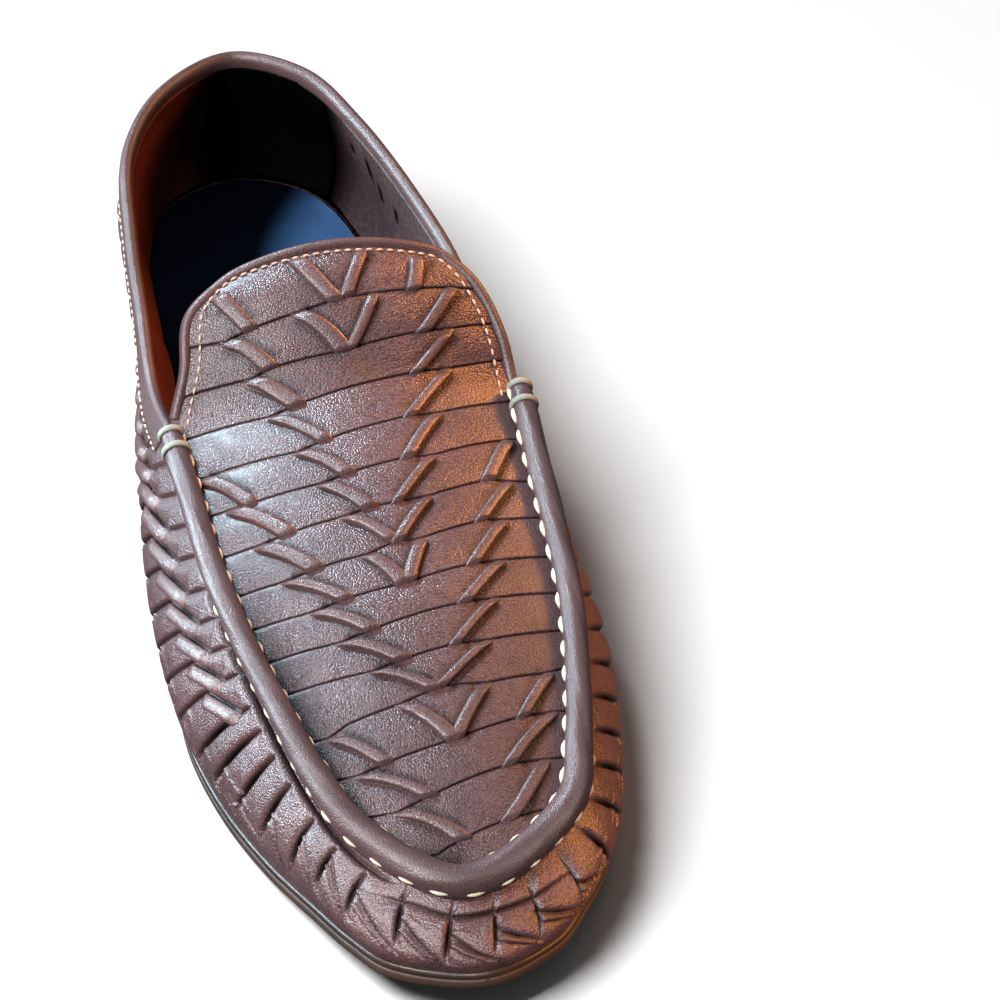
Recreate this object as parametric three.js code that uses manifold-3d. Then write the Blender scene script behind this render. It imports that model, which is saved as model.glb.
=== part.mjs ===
// A woven leather slip-on shoe for the right foot, standing empty on a flat floor.
// Millimetres, +Z up, toe toward -Y, heel toward +Y, the inner (medial) side toward +X.
import * as THREE from 'three';
import { mergeVertices } from 'three/addons/utils/BufferGeometryUtils.js';
import Module from 'manifold-3d';

const wasm = await Module();
wasm.setup();

// Driving sizes of the last and of the materials.
const SOLE_LENGTH = 292;
const BALL_WIDTH = 104;
const INSTEP_HEIGHT = 87;
const HEEL_HEIGHT = 14;
const TOE_SPRING = 9.5;
const LEATHER = 1.8;
const OUTSOLE_THICKNESS = 2.9;
const WELT_THICKNESS = 1.8;
const INSOLE_THICKNESS = 2;
const GAP = 0.3;

// The bottom of the sole is flat between the arch and the toe spring.
const ARCH_START = 0.25;
const ARCH_END = 0.61;
const SPRING_START = 0.72;
const SPRING_POWER = 1.5;
const HEEL_BREAST = 0.27;
const HEEL_TAPER = 1.5;
const FEATHER_INSET = 2;
const INSOLE_CLEARANCE = 0.6;

// The rolled seam round the apron and the bound edges of collar and tongue.
const ROLL_RADIUS = 2.9;
const ROLL_TOE_RADIUS = 4.1;
const ROLL_SIDES = 8;
const ROLL_END = 0.01;
const ROLL_DROP = 2;
const APRON_DROP = 1.3;
const APRON_INSET = -0.3;
const APRON_BEND = 0.0055;
const TONGUE_BOW = 2.5;
const TONGUE_LIFT = 1;
const BINDING_THICKNESS = 0.9;
const TONGUE_FOLD = 3.5;
const TONGUE_GAP = 0.42;
const BINDING_START = 7;

// The weave: strips of the side wall, bands across the apron and thongs laced over them.
const STRIPS_PER_QUARTER = 16;
const STRIP_RAISE = 0.8;
const STRIP_EDGE = 0.06;
const STRIP_LEAN = 0.045;
const BAND_PITCH = 11.3;
const BAND_RAISE = 0.6;
const BAND_EDGE = 0.8;
const BAND_MARGIN = 8;
const THONG_WIDTH = 3;
const THONG_HEIGHT = 2.2;
const THONG_SINK = 0.5;
const THONG_LIMIT = 0.8;

// How finely the curves are cut into facets.
const CURVE_STEPS = 24;
const SOLE_ROWS = 46;
const END_ROWS = 6;
const TOP_ROWS = 4;
const END_SHARE = 0.004;
const MIDDLE_STEPS = 400;

// Steps over which slopes and directions are read off the surfaces.
const OUTLINE_STEP = 0.002;
const SKIN_STEP = 0.01;
const RUN_STEP = 0.02;
const SIDE_STEP = 0.05;
const SEARCH_STEP = 0.001;

const LEATHER_COLOR = 0x4b332f;
const EDGE_COLOR = 0x1d1a16;
const SOLE_COLOR = 0x7a5a40;
const INSOLE_COLOR = 0x24496f;

const table = (columns, rows) => rows.map(
  (row) => Object.fromEntries(columns.map((name, index) => [name, row[index]])),
);

// Along counts from the heel back to the toe tip in sole lengths, half widths are shares of the
// ball width and heights are shares of the instep height.
const OUTLINE = table(['along', 'lateral', 'medial'], [
  [0.015, 0.135, 0.135],
  [0.05, 0.231, 0.231],
  [0.12, 0.293, 0.293],
  [0.22, 0.313, 0.303],
  [0.32, 0.322, 0.288],
  [0.42, 0.356, 0.284],
  [0.50, 0.399, 0.303],
  [0.58, 0.442, 0.356],
  [0.66, 0.458, 0.413],
  [0.74, 0.427, 0.436],
  [0.82, 0.367, 0.412],
  [0.88, 0.304, 0.356],
  [0.93, 0.249, 0.273],
  [0.97, 0.183, 0.187],
]);
const OUTLINE_TIP = { along: 1, side: 0.008 };
const OUTLINE_BACK = { along: 0, side: 0 };
const CORNER_ROW = 6;

const SEAM = table(['along', 'lateral', 'medial', 'height'], [
  [0.49, 0.399, 0.404, 0.663],
  [0.56, 0.390, 0.396, 0.625],
  [0.63, 0.382, 0.390, 0.583],
  [0.70, 0.357, 0.382, 0.537],
  [0.77, 0.318, 0.354, 0.490],
  [0.84, 0.272, 0.312, 0.440],
  [0.90, 0.202, 0.252, 0.391],
]);
const SEAM_TIP = { along: 0.957, side: -0.015, height: 0.354 };

const TONGUE = table(['along', 'lateral', 'medial', 'height'], [
  [0.450, 0.352, 0.396, 0.738],
  [0.416, 0.322, 0.354, 0.830],
  [0.390, 0.212, 0.281, 0.888],
]);

const COLLAR = table(['along', 'lateral', 'medial', 'height'], [
  [0.42, 0.405, 0.372, 0.624],
  [0.32, 0.383, 0.380, 0.640],
  [0.22, 0.357, 0.337, 0.655],
  [0.12, 0.308, 0.258, 0.688],
  [0.05, 0.186, 0.168, 0.706],
]);
const COLLAR_BACK = { along: 0.008, side: 0.006, height: 0.694 };

// How far the handles of each wall section push outward, low down and near the top.
const BULGE = table(['along', 'lateralLow', 'medialLow', 'lateralHigh', 'medialHigh'], [
  [0.00, 0.058, 0.058, 0.019, 0.019],
  [0.30, 0.058, 0.062, 0.005, 0.014],
  [0.50, 0.144, 0.087, 0.063, 0.048],
  [0.66, 0.106, 0.125, 0.063, 0.096],
  [0.80, 0.089, 0.079, 0.072, 0.072],
  [0.92, 0.085, 0.076, 0.077, 0.077],
  [1.00, 0.058, 0.058, 0.087, 0.087],
]);
const HANDLE_LOW = 0.36;
const HANDLE_HIGH = 0.33;

// Rows up the wall with the share of the strip relief that each one shows.
const WALL_ROWS = table(['height', 'relief'], [
  [0, 0],
  [0.08, 0.8],
  [0.22, 1],
  [0.36, 1],
  [0.5, 1],
  [0.7, 0.9],
  [0.86, 0],
  [1, 0],
]);
const LINING_ROWS = [1, 0.86, 0.45, 0];

// Places across the apron with the share of the band relief that each one shows.
const APRON_COLUMNS = table(['across', 'relief'], [
  [-1, 0],
  [-0.86, 0],
  [-0.78, 1],
  [-0.4, 1],
  [0, 1],
  [0.4, 1],
  [0.78, 1],
  [0.86, 0],
  [1, 0],
]);

// Lines of laced thongs, which make stacked letters V down the apron. Across runs from -1 at the
// lateral edge to 1 at the medial edge, and reach from the toe end to the top of the tongue.
const THONG_LINES = table(
  ['fromAcross', 'viaAcross', 'toAcross', 'fromReach', 'toReach', 'count', 'overSide', 'overLength'],
  [
    [-0.30, -0.28, -0.26, 0.965, 0.901, 2, 9, 11],
    [0.23, 0.23, 0.23, 0.917, 0.917, 1, -7, 12],
    [-0.72, -0.354, -0.143, 0.884, 0.507, 7, 9.5, 9],
    [0.74, 0.495, 0.20, 0.930, 0.523, 7, -9.5, 12.5],
    [-0.80, -0.545, -0.207, 0.632, 0.276, 7, 10.5, 9],
    [0.85, 0.633, 0.377, 0.705, 0.298, 7, -9.5, 12.5],
    [-0.748, -0.69, -0.52, 0.245, 0.120, 3, 10, 8],
    [0.80, 0.80, 0.72, 0.329, 0.190, 3, -8.5, 13],
  ],
);

const alongToY = (along) => (0.5 - along) * SOLE_LENGTH;
const yToAlong = (y) => 0.5 - y / SOLE_LENGTH;
const clamp = THREE.MathUtils.clamp;
const smooth = (value) => THREE.MathUtils.smoothstep(value, 0, 1);
const UP = new THREE.Vector3(0, 0, 1);

// Heights of the sole's layers at a place along the foot.
function soleBottom(along) {
  const arch = HEEL_HEIGHT * (1 - smooth((along - ARCH_START) / (ARCH_END - ARCH_START)));
  const rise = clamp((along - SPRING_START) / (1 - SPRING_START), 0, 1);
  return arch + TOE_SPRING * rise ** SPRING_POWER;
}

const weltBottom = (along) => soleBottom(along) + OUTSOLE_THICKNESS + GAP;
const soleTop = (along) => weltBottom(along) + WELT_THICKNESS;

// A value between the rows of a table, with slopes from the neighbouring rows.
function between(rows, column, along) {
  const last = rows.length - 1;
  const place = clamp(along, rows[0].along, rows[last].along);
  let low = 0;
  while (low < last - 1 && rows[low + 1].along < place) low += 1;
  const slope = (index) => {
    const before = rows[Math.max(index - 1, 0)];
    const after = rows[Math.min(index + 1, last)];
    return (after[column] - before[column]) / (after.along - before.along);
  };
  const width = rows[low + 1].along - rows[low].along;
  const t = (place - rows[low].along) / width;
  const start = (2 * t ** 3 - 3 * t ** 2 + 1) * rows[low][column];
  const finish = (3 * t ** 2 - 2 * t ** 3) * rows[low + 1][column];
  const leave = (t ** 3 - 2 * t ** 2 + t) * width * slope(low);
  const arrive = (t ** 3 - t ** 2) * width * slope(low + 1);
  return start + finish + leave + arrive;
}

// A polyline that is read by its share of the whole length.
class Track {
  constructor(points) {
    this.points = points;
    this.reach = [0];
    for (let i = 1; i < points.length; i += 1) {
      this.reach.push(this.reach[i - 1] + points[i].distanceTo(points[i - 1]));
    }
    this.length = this.reach[points.length - 1];
  }

  at(share) {
    const distance = clamp(share, 0, 1) * this.length;
    let low = 0;
    let high = this.points.length - 1;
    while (high - low > 1) {
      const middle = (low + high) >> 1;
      if (this.reach[middle] <= distance) low = middle;
      else high = middle;
    }
    const part = (distance - this.reach[low]) / (this.reach[high] - this.reach[low]);
    return this.points[low].clone().lerp(this.points[high], part);
  }

  shareAtPoint(index) {
    return this.reach[index * CURVE_STEPS] / this.length;
  }
}

const place = (side, along, height) => new THREE.Vector3(
  side * BALL_WIDTH,
  alongToY(along),
  height * INSTEP_HEIGHT,
);
const lateralPoint = (row) => place(-row.lateral, row.along, row.height ?? 0);
const medialPoint = (row) => place(row.medial, row.along, row.height ?? 0);
const middlePoint = (row) => place(row.side, row.along, row.height ?? 0);

function smoothPoints(points, closed = false) {
  const curve = new THREE.CatmullRomCurve3(points, closed, 'centripetal');
  const pieces = closed ? points.length : points.length - 1;
  return curve.getPoints(pieces * CURVE_STEPS);
}

const lower = (points, drop) => points.map((point) => point.clone().addScaledVector(UP, -drop));

// The closed outline of the sole: heel back, lateral side, toe tip, medial side.
const outline = new Track(smoothPoints([
  middlePoint(OUTLINE_BACK),
  ...OUTLINE.map(lateralPoint),
  middlePoint(OUTLINE_TIP),
  ...OUTLINE.map(medialPoint).reverse(),
], true));
const TIP_SHARE = outline.shareAtPoint(OUTLINE.length + 1);
const QUARTER_SHARES = [
  0,
  outline.shareAtPoint(CORNER_ROW + 1),
  TIP_SHARE,
  outline.shareAtPoint(2 * OUTLINE.length + 1 - CORNER_ROW),
  1,
];

function outlineNormal(share) {
  const ahead = outline.at((share + OUTLINE_STEP) % 1);
  const behind = outline.at((share - OUTLINE_STEP + 1) % 1);
  const run = ahead.sub(behind);
  return new THREE.Vector3(run.y, -run.x, 0).normalize();
}

function outlinePoint(share, inset = 0) {
  return outline.at(share).addScaledVector(outlineNormal(share), -inset);
}

// The seam line round the apron, the collar line and the free edge of the tongue.
const seamRow = [...SEAM.map(lateralPoint), middlePoint(SEAM_TIP), ...SEAM.map(medialPoint).reverse()];
const collarRow = [
  lateralPoint(SEAM[0]),
  ...COLLAR.map(lateralPoint),
  middlePoint(COLLAR_BACK),
  ...COLLAR.map(medialPoint).reverse(),
  medialPoint(SEAM[0]),
];
const seamLine = smoothPoints(seamRow);
const seamMiddle = SEAM.length * CURVE_STEPS;
const wallSeam = lower(seamLine, ROLL_DROP);
const wallCollar = lower(smoothPoints(collarRow), ROLL_DROP);
const collarMiddle = (COLLAR.length + 1) * CURVE_STEPS;
const TOP_QUARTERS = [
  new Track(wallCollar.slice(0, collarMiddle + 1).reverse()),
  new Track(wallSeam.slice(0, seamMiddle + 1)),
  new Track(wallSeam.slice(seamMiddle)),
  new Track(wallCollar.slice(collarMiddle).reverse()),
];

// The outer face of the side wall: turn runs 0 to 4, heel back to lateral corner to toe tip to
// medial corner and back, and height runs from the sole to the seam or the collar.
function wallPoint(turn, height) {
  const wrapped = (turn + 4) % 4;
  const quarter = Math.min(Math.floor(wrapped), 3);
  const share = THREE.MathUtils.lerp(
    QUARTER_SHARES[quarter],
    QUARTER_SHARES[quarter + 1],
    wrapped - quarter,
  );
  const outward = outlineNormal(share);
  const foot = outlinePoint(share, FEATHER_INSET);
  const along = yToAlong(foot.y);
  foot.z = soleTop(along) + GAP;
  const top = TOP_QUARTERS[quarter].at(wrapped - quarter);
  const side = quarter < 2 ? 'lateral' : 'medial';
  const low = between(BULGE, `${side}Low`, along) * BALL_WIDTH;
  const high = between(BULGE, `${side}High`, along) * BALL_WIDTH;
  const rise = top.z - foot.z;
  const lowHandle = foot.clone().addScaledVector(outward, low).addScaledVector(UP, rise * HANDLE_LOW);
  const highHandle = top.clone().addScaledVector(outward, high).addScaledVector(UP, -rise * HANDLE_HIGH);
  return new THREE.CubicBezierCurve3(foot, lowHandle, highHandle, top).getPoint(height);
}

function wallNormal(turn, height) {
  const forward = wallPoint(turn + SKIN_STEP, height).sub(wallPoint(turn - SKIN_STEP, height));
  const low = Math.max(height - SKIN_STEP, 0);
  const high = Math.min(height + SKIN_STEP, 1);
  const upward = wallPoint(turn, high).sub(wallPoint(turn, low));
  return forward.cross(upward).normalize();
}

const wallSkin = (turn, height, offset) => wallPoint(turn, height)
  .addScaledVector(wallNormal(turn, height), offset);

// The apron: rows run across between its two edges, and the crown follows the row's width.
const inward = (points, side) => lower(points, ROLL_DROP + APRON_DROP).map(
  (point) => point.add(new THREE.Vector3(side * APRON_INSET, 0, 0)),
);
const apronTip = lower([middlePoint(SEAM_TIP)], ROLL_DROP + APRON_DROP)[0];
apronTip.y += APRON_INSET;
const apronEdge = (seam, tongue) => new Track(smoothPoints([apronTip, ...seam.reverse(), ...tongue]));
const lateralEdge = apronEdge(inward(SEAM.map(lateralPoint), 1), TONGUE.map(lateralPoint));
const medialEdge = apronEdge(inward(SEAM.map(medialPoint), -1), TONGUE.map(medialPoint));
const CORNER_SHARE = lateralEdge.shareAtPoint(SEAM.length);

function apronPoint(across, share) {
  const left = lateralEdge.at(share);
  const right = medialEdge.at(share);
  const half = left.distanceTo(right) / 2;
  const middle = 1 - across * across;
  const tongue = clamp((share - CORNER_SHARE) / (1 - CORNER_SHARE), 0, 1) ** 2;
  const point = left.lerp(right, (across + 1) / 2);
  point.y += TONGUE_BOW * tongue * middle;
  point.z += (APRON_BEND * half * half + TONGUE_LIFT * tongue) * middle;
  return point;
}

function apronNormal(across, share) {
  const inner = clamp(share, 2 * SKIN_STEP, 1 - SKIN_STEP);
  const sideways = apronPoint(across + SKIN_STEP, inner).sub(apronPoint(across - SKIN_STEP, inner));
  const lengthways = apronPoint(across, inner + SKIN_STEP).sub(apronPoint(across, inner - SKIN_STEP));
  return sideways.cross(lengthways).normalize();
}

const apronSkin = (across, share, offset) => apronPoint(across, share)
  .addScaledVector(apronNormal(across, share), offset);

// The row at a distance along the middle of the apron, counted from the toe.
const middleLine = new Track(Array.from(
  { length: MIDDLE_STEPS + 1 },
  (_, i) => apronPoint(0, i / MIDDLE_STEPS),
));

function shareAt(distance) {
  const next = Math.max(middleLine.reach.findIndex((reach) => reach >= distance), 1);
  const before = middleLine.reach[next - 1];
  const part = (distance - before) / (middleLine.reach[next] - before);
  return (next - 1 + part) / MIDDLE_STEPS;
}

// A closed skin through rings of equal size, joined end to end or closed by a ladder of faces.
function loft(rings, endless = false) {
  const size = rings[0].length;
  const positions = rings.flat().flatMap((point) => point.toArray());
  const faces = [];
  const count = endless ? rings.length : rings.length - 1;
  for (let i = 0; i < count; i += 1) {
    const here = i * size;
    const next = ((i + 1) % rings.length) * size;
    for (let j = 0; j < size; j += 1) {
      const k = (j + 1) % size;
      faces.push(here + j, next + j, next + k, here + j, next + k, here + k);
    }
  }
  if (!endless) {
    const end = (rings.length - 1) * size;
    for (let j = 0; j < size / 2 - 1; j += 1) {
      const k = size - 1 - j;
      faces.push(j, j + 1, k - 1, j, k - 1, k);
      faces.push(end + j, end + k - 1, end + j + 1, end + j, end + k, end + k - 1);
    }
  }
  const geometry = new THREE.BufferGeometry();
  geometry.setAttribute('position', new THREE.Float32BufferAttribute(positions, 3));
  geometry.setIndex(faces);
  if (volume(geometry) < 0) geometry.setIndex(faces.reverse());
  return geometry;
}

function volume(geometry) {
  const position = geometry.getAttribute('position');
  const corner = [new THREE.Vector3(), new THREE.Vector3(), new THREE.Vector3()];
  let sum = 0;
  for (let i = 0; i < geometry.index.count; i += 3) {
    corner.forEach((point, k) => point.fromBufferAttribute(position, geometry.index.getX(i + k)));
    sum += corner[0].dot(corner[1].cross(corner[2]));
  }
  return sum / 6;
}

function solid(geometry) {
  return new wasm.Manifold(new wasm.Mesh({
    numProp: 3,
    vertProperties: new Float32Array(geometry.getAttribute('position').array),
    triVerts: new Uint32Array(geometry.index.array),
  }));
}

function skinOf(body) {
  const found = body.getMesh();
  const geometry = new THREE.BufferGeometry();
  geometry.setAttribute('position', new THREE.Float32BufferAttribute(found.vertProperties, 3));
  geometry.setIndex(Array.from(found.triVerts));
  return geometry;
}

// The side wall with its leaning strips, each a little proud of the next one's tail.
const stripLean = (turn, height) => STRIP_LEAN * 4 * Math.sin(turn * Math.PI / 2)
  * (1 - Math.abs(2 * height - 1));

const wallAt = (turn, height, offset) => wallSkin(turn + stripLean(turn, height), height, offset);

function wallRing({ turn, raise }) {
  const outer = WALL_ROWS.map(({ height, relief }) => wallAt(turn, height, raise * relief));
  const inner = LINING_ROWS.map((height) => wallAt(turn, height, -LEATHER));
  return [...outer, ...inner];
}

const STRIP_TURNS = Array.from({ length: 4 * STRIPS_PER_QUARTER }, (_, strip) => [
  { turn: strip / STRIPS_PER_QUARTER, raise: 0 },
  { turn: (strip + 1 - STRIP_EDGE) / STRIPS_PER_QUARTER, raise: STRIP_RAISE },
]).flat();

const wallGeometry = () => loft(STRIP_TURNS.map(wallRing), true);

// The apron and tongue in bands, each proud of the next one toward the toe.
function apronRing(share, raise, grow) {
  const half = lateralEdge.at(share).distanceTo(medialEdge.at(share)) / 2;
  const wider = (across) => across * (1 + grow / half);
  const outer = APRON_COLUMNS.map(
    ({ across, relief }) => apronSkin(wider(across), share, raise * relief + grow),
  );
  const inner = APRON_COLUMNS.map(({ across }) => apronSkin(wider(across), share, -LEATHER - grow));
  return [...outer, ...inner.reverse()];
}

function apronRows() {
  const finish = middleLine.length - BAND_MARGIN;
  const rows = [];
  for (let row = 0; row < END_ROWS; row += 1) {
    rows.push({ share: THREE.MathUtils.lerp(END_SHARE, shareAt(BAND_MARGIN), row / END_ROWS), raise: 0 });
  }
  for (let distance = BAND_MARGIN; distance < finish; distance += BAND_PITCH) {
    const tail = Math.min(distance + BAND_PITCH, finish);
    rows.push({ share: shareAt(distance), raise: BAND_RAISE });
    rows.push({ share: shareAt(tail - BAND_EDGE), raise: 0 });
  }
  for (let row = 0; row < TOP_ROWS; row += 1) {
    rows.push({ share: shareAt(finish + BAND_MARGIN * row / TOP_ROWS), raise: 0 });
  }
  rows.push({ share: 1, raise: 0 });
  return rows;
}

const APRON_ROWS = apronRows();
const apronGeometry = (grow) => loft(APRON_ROWS.map(({ share, raise }) => apronRing(share, raise, grow)));

// One thong, a short bar laced over a band from its tail side to the next band.
function thongGeometry(across, reach, overSide, overLength) {
  const distance = reach * middleLine.length;
  const share = shareAt(distance - overLength / 2);
  const half = lateralEdge.at(share).distanceTo(medialEdge.at(share)) / 2;
  const middle = clamp(across + overSide / (2 * half), -THONG_LIMIT, THONG_LIMIT);
  const normal = apronNormal(middle, share);
  const centre = apronPoint(middle, share);
  const toe = apronPoint(middle, shareAt(distance - overLength)).sub(centre).normalize();
  const side = apronPoint(middle + SIDE_STEP, share).sub(centre).normalize();
  const run = toe.multiplyScalar(overLength).addScaledVector(side, overSide);
  const length = run.length();
  const cross = new THREE.Vector3().crossVectors(normal, run.normalize()).normalize();
  const geometry = new THREE.BoxGeometry(THONG_WIDTH, length, THONG_HEIGHT);
  const up = new THREE.Vector3().crossVectors(cross, run);
  const matrix = new THREE.Matrix4().makeBasis(cross, run, up);
  matrix.setPosition(centre.addScaledVector(normal, THONG_HEIGHT / 2 - THONG_SINK));
  return geometry.applyMatrix4(matrix);
}

function boxSolid(box) {
  box.deleteAttribute('normal');
  box.deleteAttribute('uv');
  return solid(mergeVertices(box));
}

function thongSolids() {
  return THONG_LINES.flatMap((line) => Array.from({ length: line.count }, (_, index) => {
    const t = line.count > 1 ? index / (line.count - 1) : 0;
    const early = THREE.MathUtils.lerp(line.fromAcross, line.viaAcross, 2 * t);
    const late = THREE.MathUtils.lerp(line.viaAcross, line.toAcross, 2 * t - 1);
    const across = t < 0.5 ? early : late;
    const reach = THREE.MathUtils.lerp(line.fromReach, line.toReach, t);
    return boxSolid(thongGeometry(across, reach, line.overSide, line.overLength));
  }));
}

const upperSolid = () => thongSolids().reduce(
  (whole, thong) => whole.add(thong),
  solid(wallGeometry()).add(solid(apronGeometry(0))),
);

// The smooth roll over the seam: a round section cut flat just above the edge of the wall.
function rollRing(turn) {
  const run = wallPoint(turn + RUN_STEP, 1).sub(wallPoint(turn - RUN_STEP, 1)).normalize();
  const side = new THREE.Vector3().crossVectors(UP, run).normalize();
  const over = new THREE.Vector3().crossVectors(run, side);
  const toe = smooth(1 - 2 * Math.abs(turn - 2));
  const radius = THREE.MathUtils.lerp(ROLL_RADIUS, ROLL_TOE_RADIUS, toe);
  const dip = Math.asin((ROLL_DROP - GAP) / radius);
  return Array.from({ length: ROLL_SIDES }, (_, k) => {
    const angle = THREE.MathUtils.lerp(-dip, Math.PI + dip, k / (ROLL_SIDES - 1));
    return wallPoint(turn, 1)
      .addScaledVector(UP, ROLL_DROP)
      .addScaledVector(side, radius * Math.cos(angle))
      .addScaledVector(over, radius * Math.sin(angle));
  });
}

const rollGeometry = () => loft(
  STRIP_TURNS.map(({ turn }) => turn)
    .filter((turn) => Math.abs(turn - 2) < 1 - ROLL_END)
    .map(rollRing),
);

// A folded strip over the collar edge: outer leg, turn and inner leg, clear of the wall.
function collarGeometry() {
  const start = 1 - BINDING_START / TOP_QUARTERS[0].length;
  const turns = STRIP_TURNS.map(({ turn }) => (turn > 2 ? turn - 4 : turn))
    .filter((turn) => Math.abs(turn) < start)
    .sort((a, b) => a - b);
  const foot = WALL_ROWS[WALL_ROWS.length - 2].height;
  const near = GAP;
  const far = GAP + BINDING_THICKNESS;
  const top = (turn, offset, lift) => wallAt(turn, 1, offset).addScaledVector(UP, lift);
  return loft(turns.map((turn) => [
    wallAt(turn, foot, near),
    top(turn, near, near),
    top(turn, -LEATHER - near, near),
    wallAt(turn, foot, -LEATHER - near),
    wallAt(turn, foot, -LEATHER - far),
    top(turn, -LEATHER - far, far),
    top(turn, far, far),
    wallAt(turn, foot, far),
  ]));
}

// The same fold over the free edge of the tongue: up one side, over the top and down the other.
function tonguePath() {
  const start = CORNER_SHARE + BINDING_START / lateralEdge.length;
  const shares = APRON_ROWS.map(({ share }) => share).filter((share) => share > start);
  const top = APRON_COLUMNS.slice(1, -1).map(({ across }) => ({ across, share: 1 }));
  const up = shares.map((share) => ({ across: -1, share }));
  const down = shares.map((share) => ({ across: 1, share })).reverse();
  return [...up, ...top, ...down];
}

function tongueGeometry() {
  const path = tonguePath();
  const points = path.map(({ across, share }) => apronPoint(across, share));
  const lastShare = 1 - TONGUE_FOLD / lateralEdge.length;
  const near = TONGUE_GAP;
  const far = TONGUE_GAP + BINDING_THICKNESS;
  return loft(path.map(({ across, share }, index) => {
    const before = points[Math.max(index - 1, 0)];
    const after = points[Math.min(index + 1, points.length - 1)];
    const normal = apronNormal(across, share);
    const outward = normal.clone().cross(after.clone().sub(before)).normalize();
    const half = lateralEdge.at(share).distanceTo(medialEdge.at(share)) / 2;
    const reach = 1 - TONGUE_FOLD / half;
    const leg = (offset) => apronSkin(
      clamp(across, -reach, reach),
      Math.min(share, lastShare),
      offset,
    );
    const turn = (out, offset) => points[index].clone()
      .addScaledVector(outward, out)
      .addScaledVector(normal, offset);
    return [
      leg(near),
      turn(near, near),
      turn(near, -LEATHER - near),
      leg(-LEATHER - near),
      leg(-LEATHER - far),
      turn(far, -LEATHER - far),
      turn(far, far),
      leg(far),
    ];
  }));
}

// A layer of the sole between two heights, in rows across the outline.
function layerGeometry({ from = END_SHARE, to = 1 - END_SHARE, rows = SOLE_ROWS, topInset = 0,
  bottomInset = topInset, top, bottom }) {
  const corner = (share, inset, height) => {
    const point = outlinePoint(share, inset);
    point.z = height(yToAlong(point.y));
    return point;
  };
  return loft(Array.from({ length: rows + 1 }, (_, row) => {
    const part = THREE.MathUtils.lerp(from, to, row / rows);
    const lateral = part * TIP_SHARE;
    const medial = 1 - part * (1 - TIP_SHARE);
    return [
      corner(lateral, topInset, top),
      corner(medial, topInset, top),
      corner(medial, bottomInset, bottom),
      corner(lateral, bottomInset, bottom),
    ];
  }));
}

// The part of a side, from the heel back, that reaches a place along the foot.
function sideShare(along) {
  let part = 0;
  while (yToAlong(outline.at(part * TIP_SHARE).y) < along) part += SEARCH_STEP;
  return part;
}

const leather = (color, roughness) => new THREE.MeshStandardMaterial({ color, roughness, metalness: 0 });

function piece(name, geometry, material) {
  geometry.computeVertexNormals();
  const mesh = new THREE.Mesh(geometry, material);
  mesh.name = name;
  return mesh;
}

const outsole = layerGeometry({
  top: (along) => soleBottom(along) + OUTSOLE_THICKNESS,
  bottom: soleBottom,
});
const welt = layerGeometry({ top: soleTop, bottom: weltBottom });
const insole = layerGeometry({
  topInset: FEATHER_INSET + LEATHER + INSOLE_CLEARANCE,
  top: (along) => soleTop(along) + GAP + INSOLE_THICKNESS,
  bottom: (along) => soleTop(along) + GAP,
});
const heel = layerGeometry({
  to: sideShare(HEEL_BREAST),
  rows: Math.round(SOLE_ROWS / 2),
  bottomInset: HEEL_TAPER,
  top: (along) => soleBottom(along) - GAP,
  bottom: () => 0,
});

const upper = upperSolid();
const roll = solid(rollGeometry()).subtract(solid(apronGeometry(GAP)));

const shoe = new THREE.Group();
shoe.add(
  piece('outsole', outsole, leather(SOLE_COLOR, 0.7)),
  piece('welt', welt, leather(EDGE_COLOR, 0.35)),
  piece('heel', heel, leather(EDGE_COLOR, 0.5)),
  piece('insole', insole, leather(INSOLE_COLOR, 0.8)),
  piece('upper', skinOf(upper), leather(LEATHER_COLOR, 0.45)),
  piece('apron_roll', skinOf(roll), leather(LEATHER_COLOR, 0.4)),
  piece('collar_binding', collarGeometry(), leather(LEATHER_COLOR, 0.42)),
  piece('tongue_binding', tongueGeometry(), leather(LEATHER_COLOR, 0.42)),
);

// The origin is on the floor, under the middle of the whole shoe.
const middle = new THREE.Box3().setFromObject(shoe).getCenter(new THREE.Vector3());
shoe.position.set(-middle.x, -middle.y, 0);

export default shoe;
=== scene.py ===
"""A woven leather slip-on shoe for the right foot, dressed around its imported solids."""

import logging
import math
from collections.abc import Callable
from dataclasses import dataclass
from enum import Enum
from functools import partial

import bpy
import numpy as np
from bpy.types import Collection, ID, Material, Node, NodeSocket, NodeTree, Object
from mathutils import Matrix, Vector


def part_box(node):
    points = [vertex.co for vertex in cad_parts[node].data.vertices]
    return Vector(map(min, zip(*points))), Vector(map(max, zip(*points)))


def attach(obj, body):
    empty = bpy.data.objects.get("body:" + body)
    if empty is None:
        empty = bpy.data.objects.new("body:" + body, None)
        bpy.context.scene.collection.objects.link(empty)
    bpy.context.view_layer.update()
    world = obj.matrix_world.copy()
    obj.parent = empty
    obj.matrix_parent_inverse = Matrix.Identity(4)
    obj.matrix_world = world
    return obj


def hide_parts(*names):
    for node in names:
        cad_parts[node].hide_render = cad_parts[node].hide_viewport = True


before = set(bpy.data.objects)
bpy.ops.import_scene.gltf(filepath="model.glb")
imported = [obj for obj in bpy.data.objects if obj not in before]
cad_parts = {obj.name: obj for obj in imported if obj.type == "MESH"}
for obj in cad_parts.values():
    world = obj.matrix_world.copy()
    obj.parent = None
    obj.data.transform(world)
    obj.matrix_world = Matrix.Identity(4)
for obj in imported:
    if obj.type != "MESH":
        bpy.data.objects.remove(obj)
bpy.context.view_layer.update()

Array = np.ndarray
Row = tuple[float, ...]
Rows = tuple[Row, ...]
# Points in millimetres, and faces of four indices.
Shape = tuple[np.ndarray, np.ndarray]
Adder = Callable[..., Node]
LOG = logging.getLogger("shoe")
BODY = "root"
MM = 0.001
TINY = 1e-12
UP = np.array([0.0, 0.0, 1.0])
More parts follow.
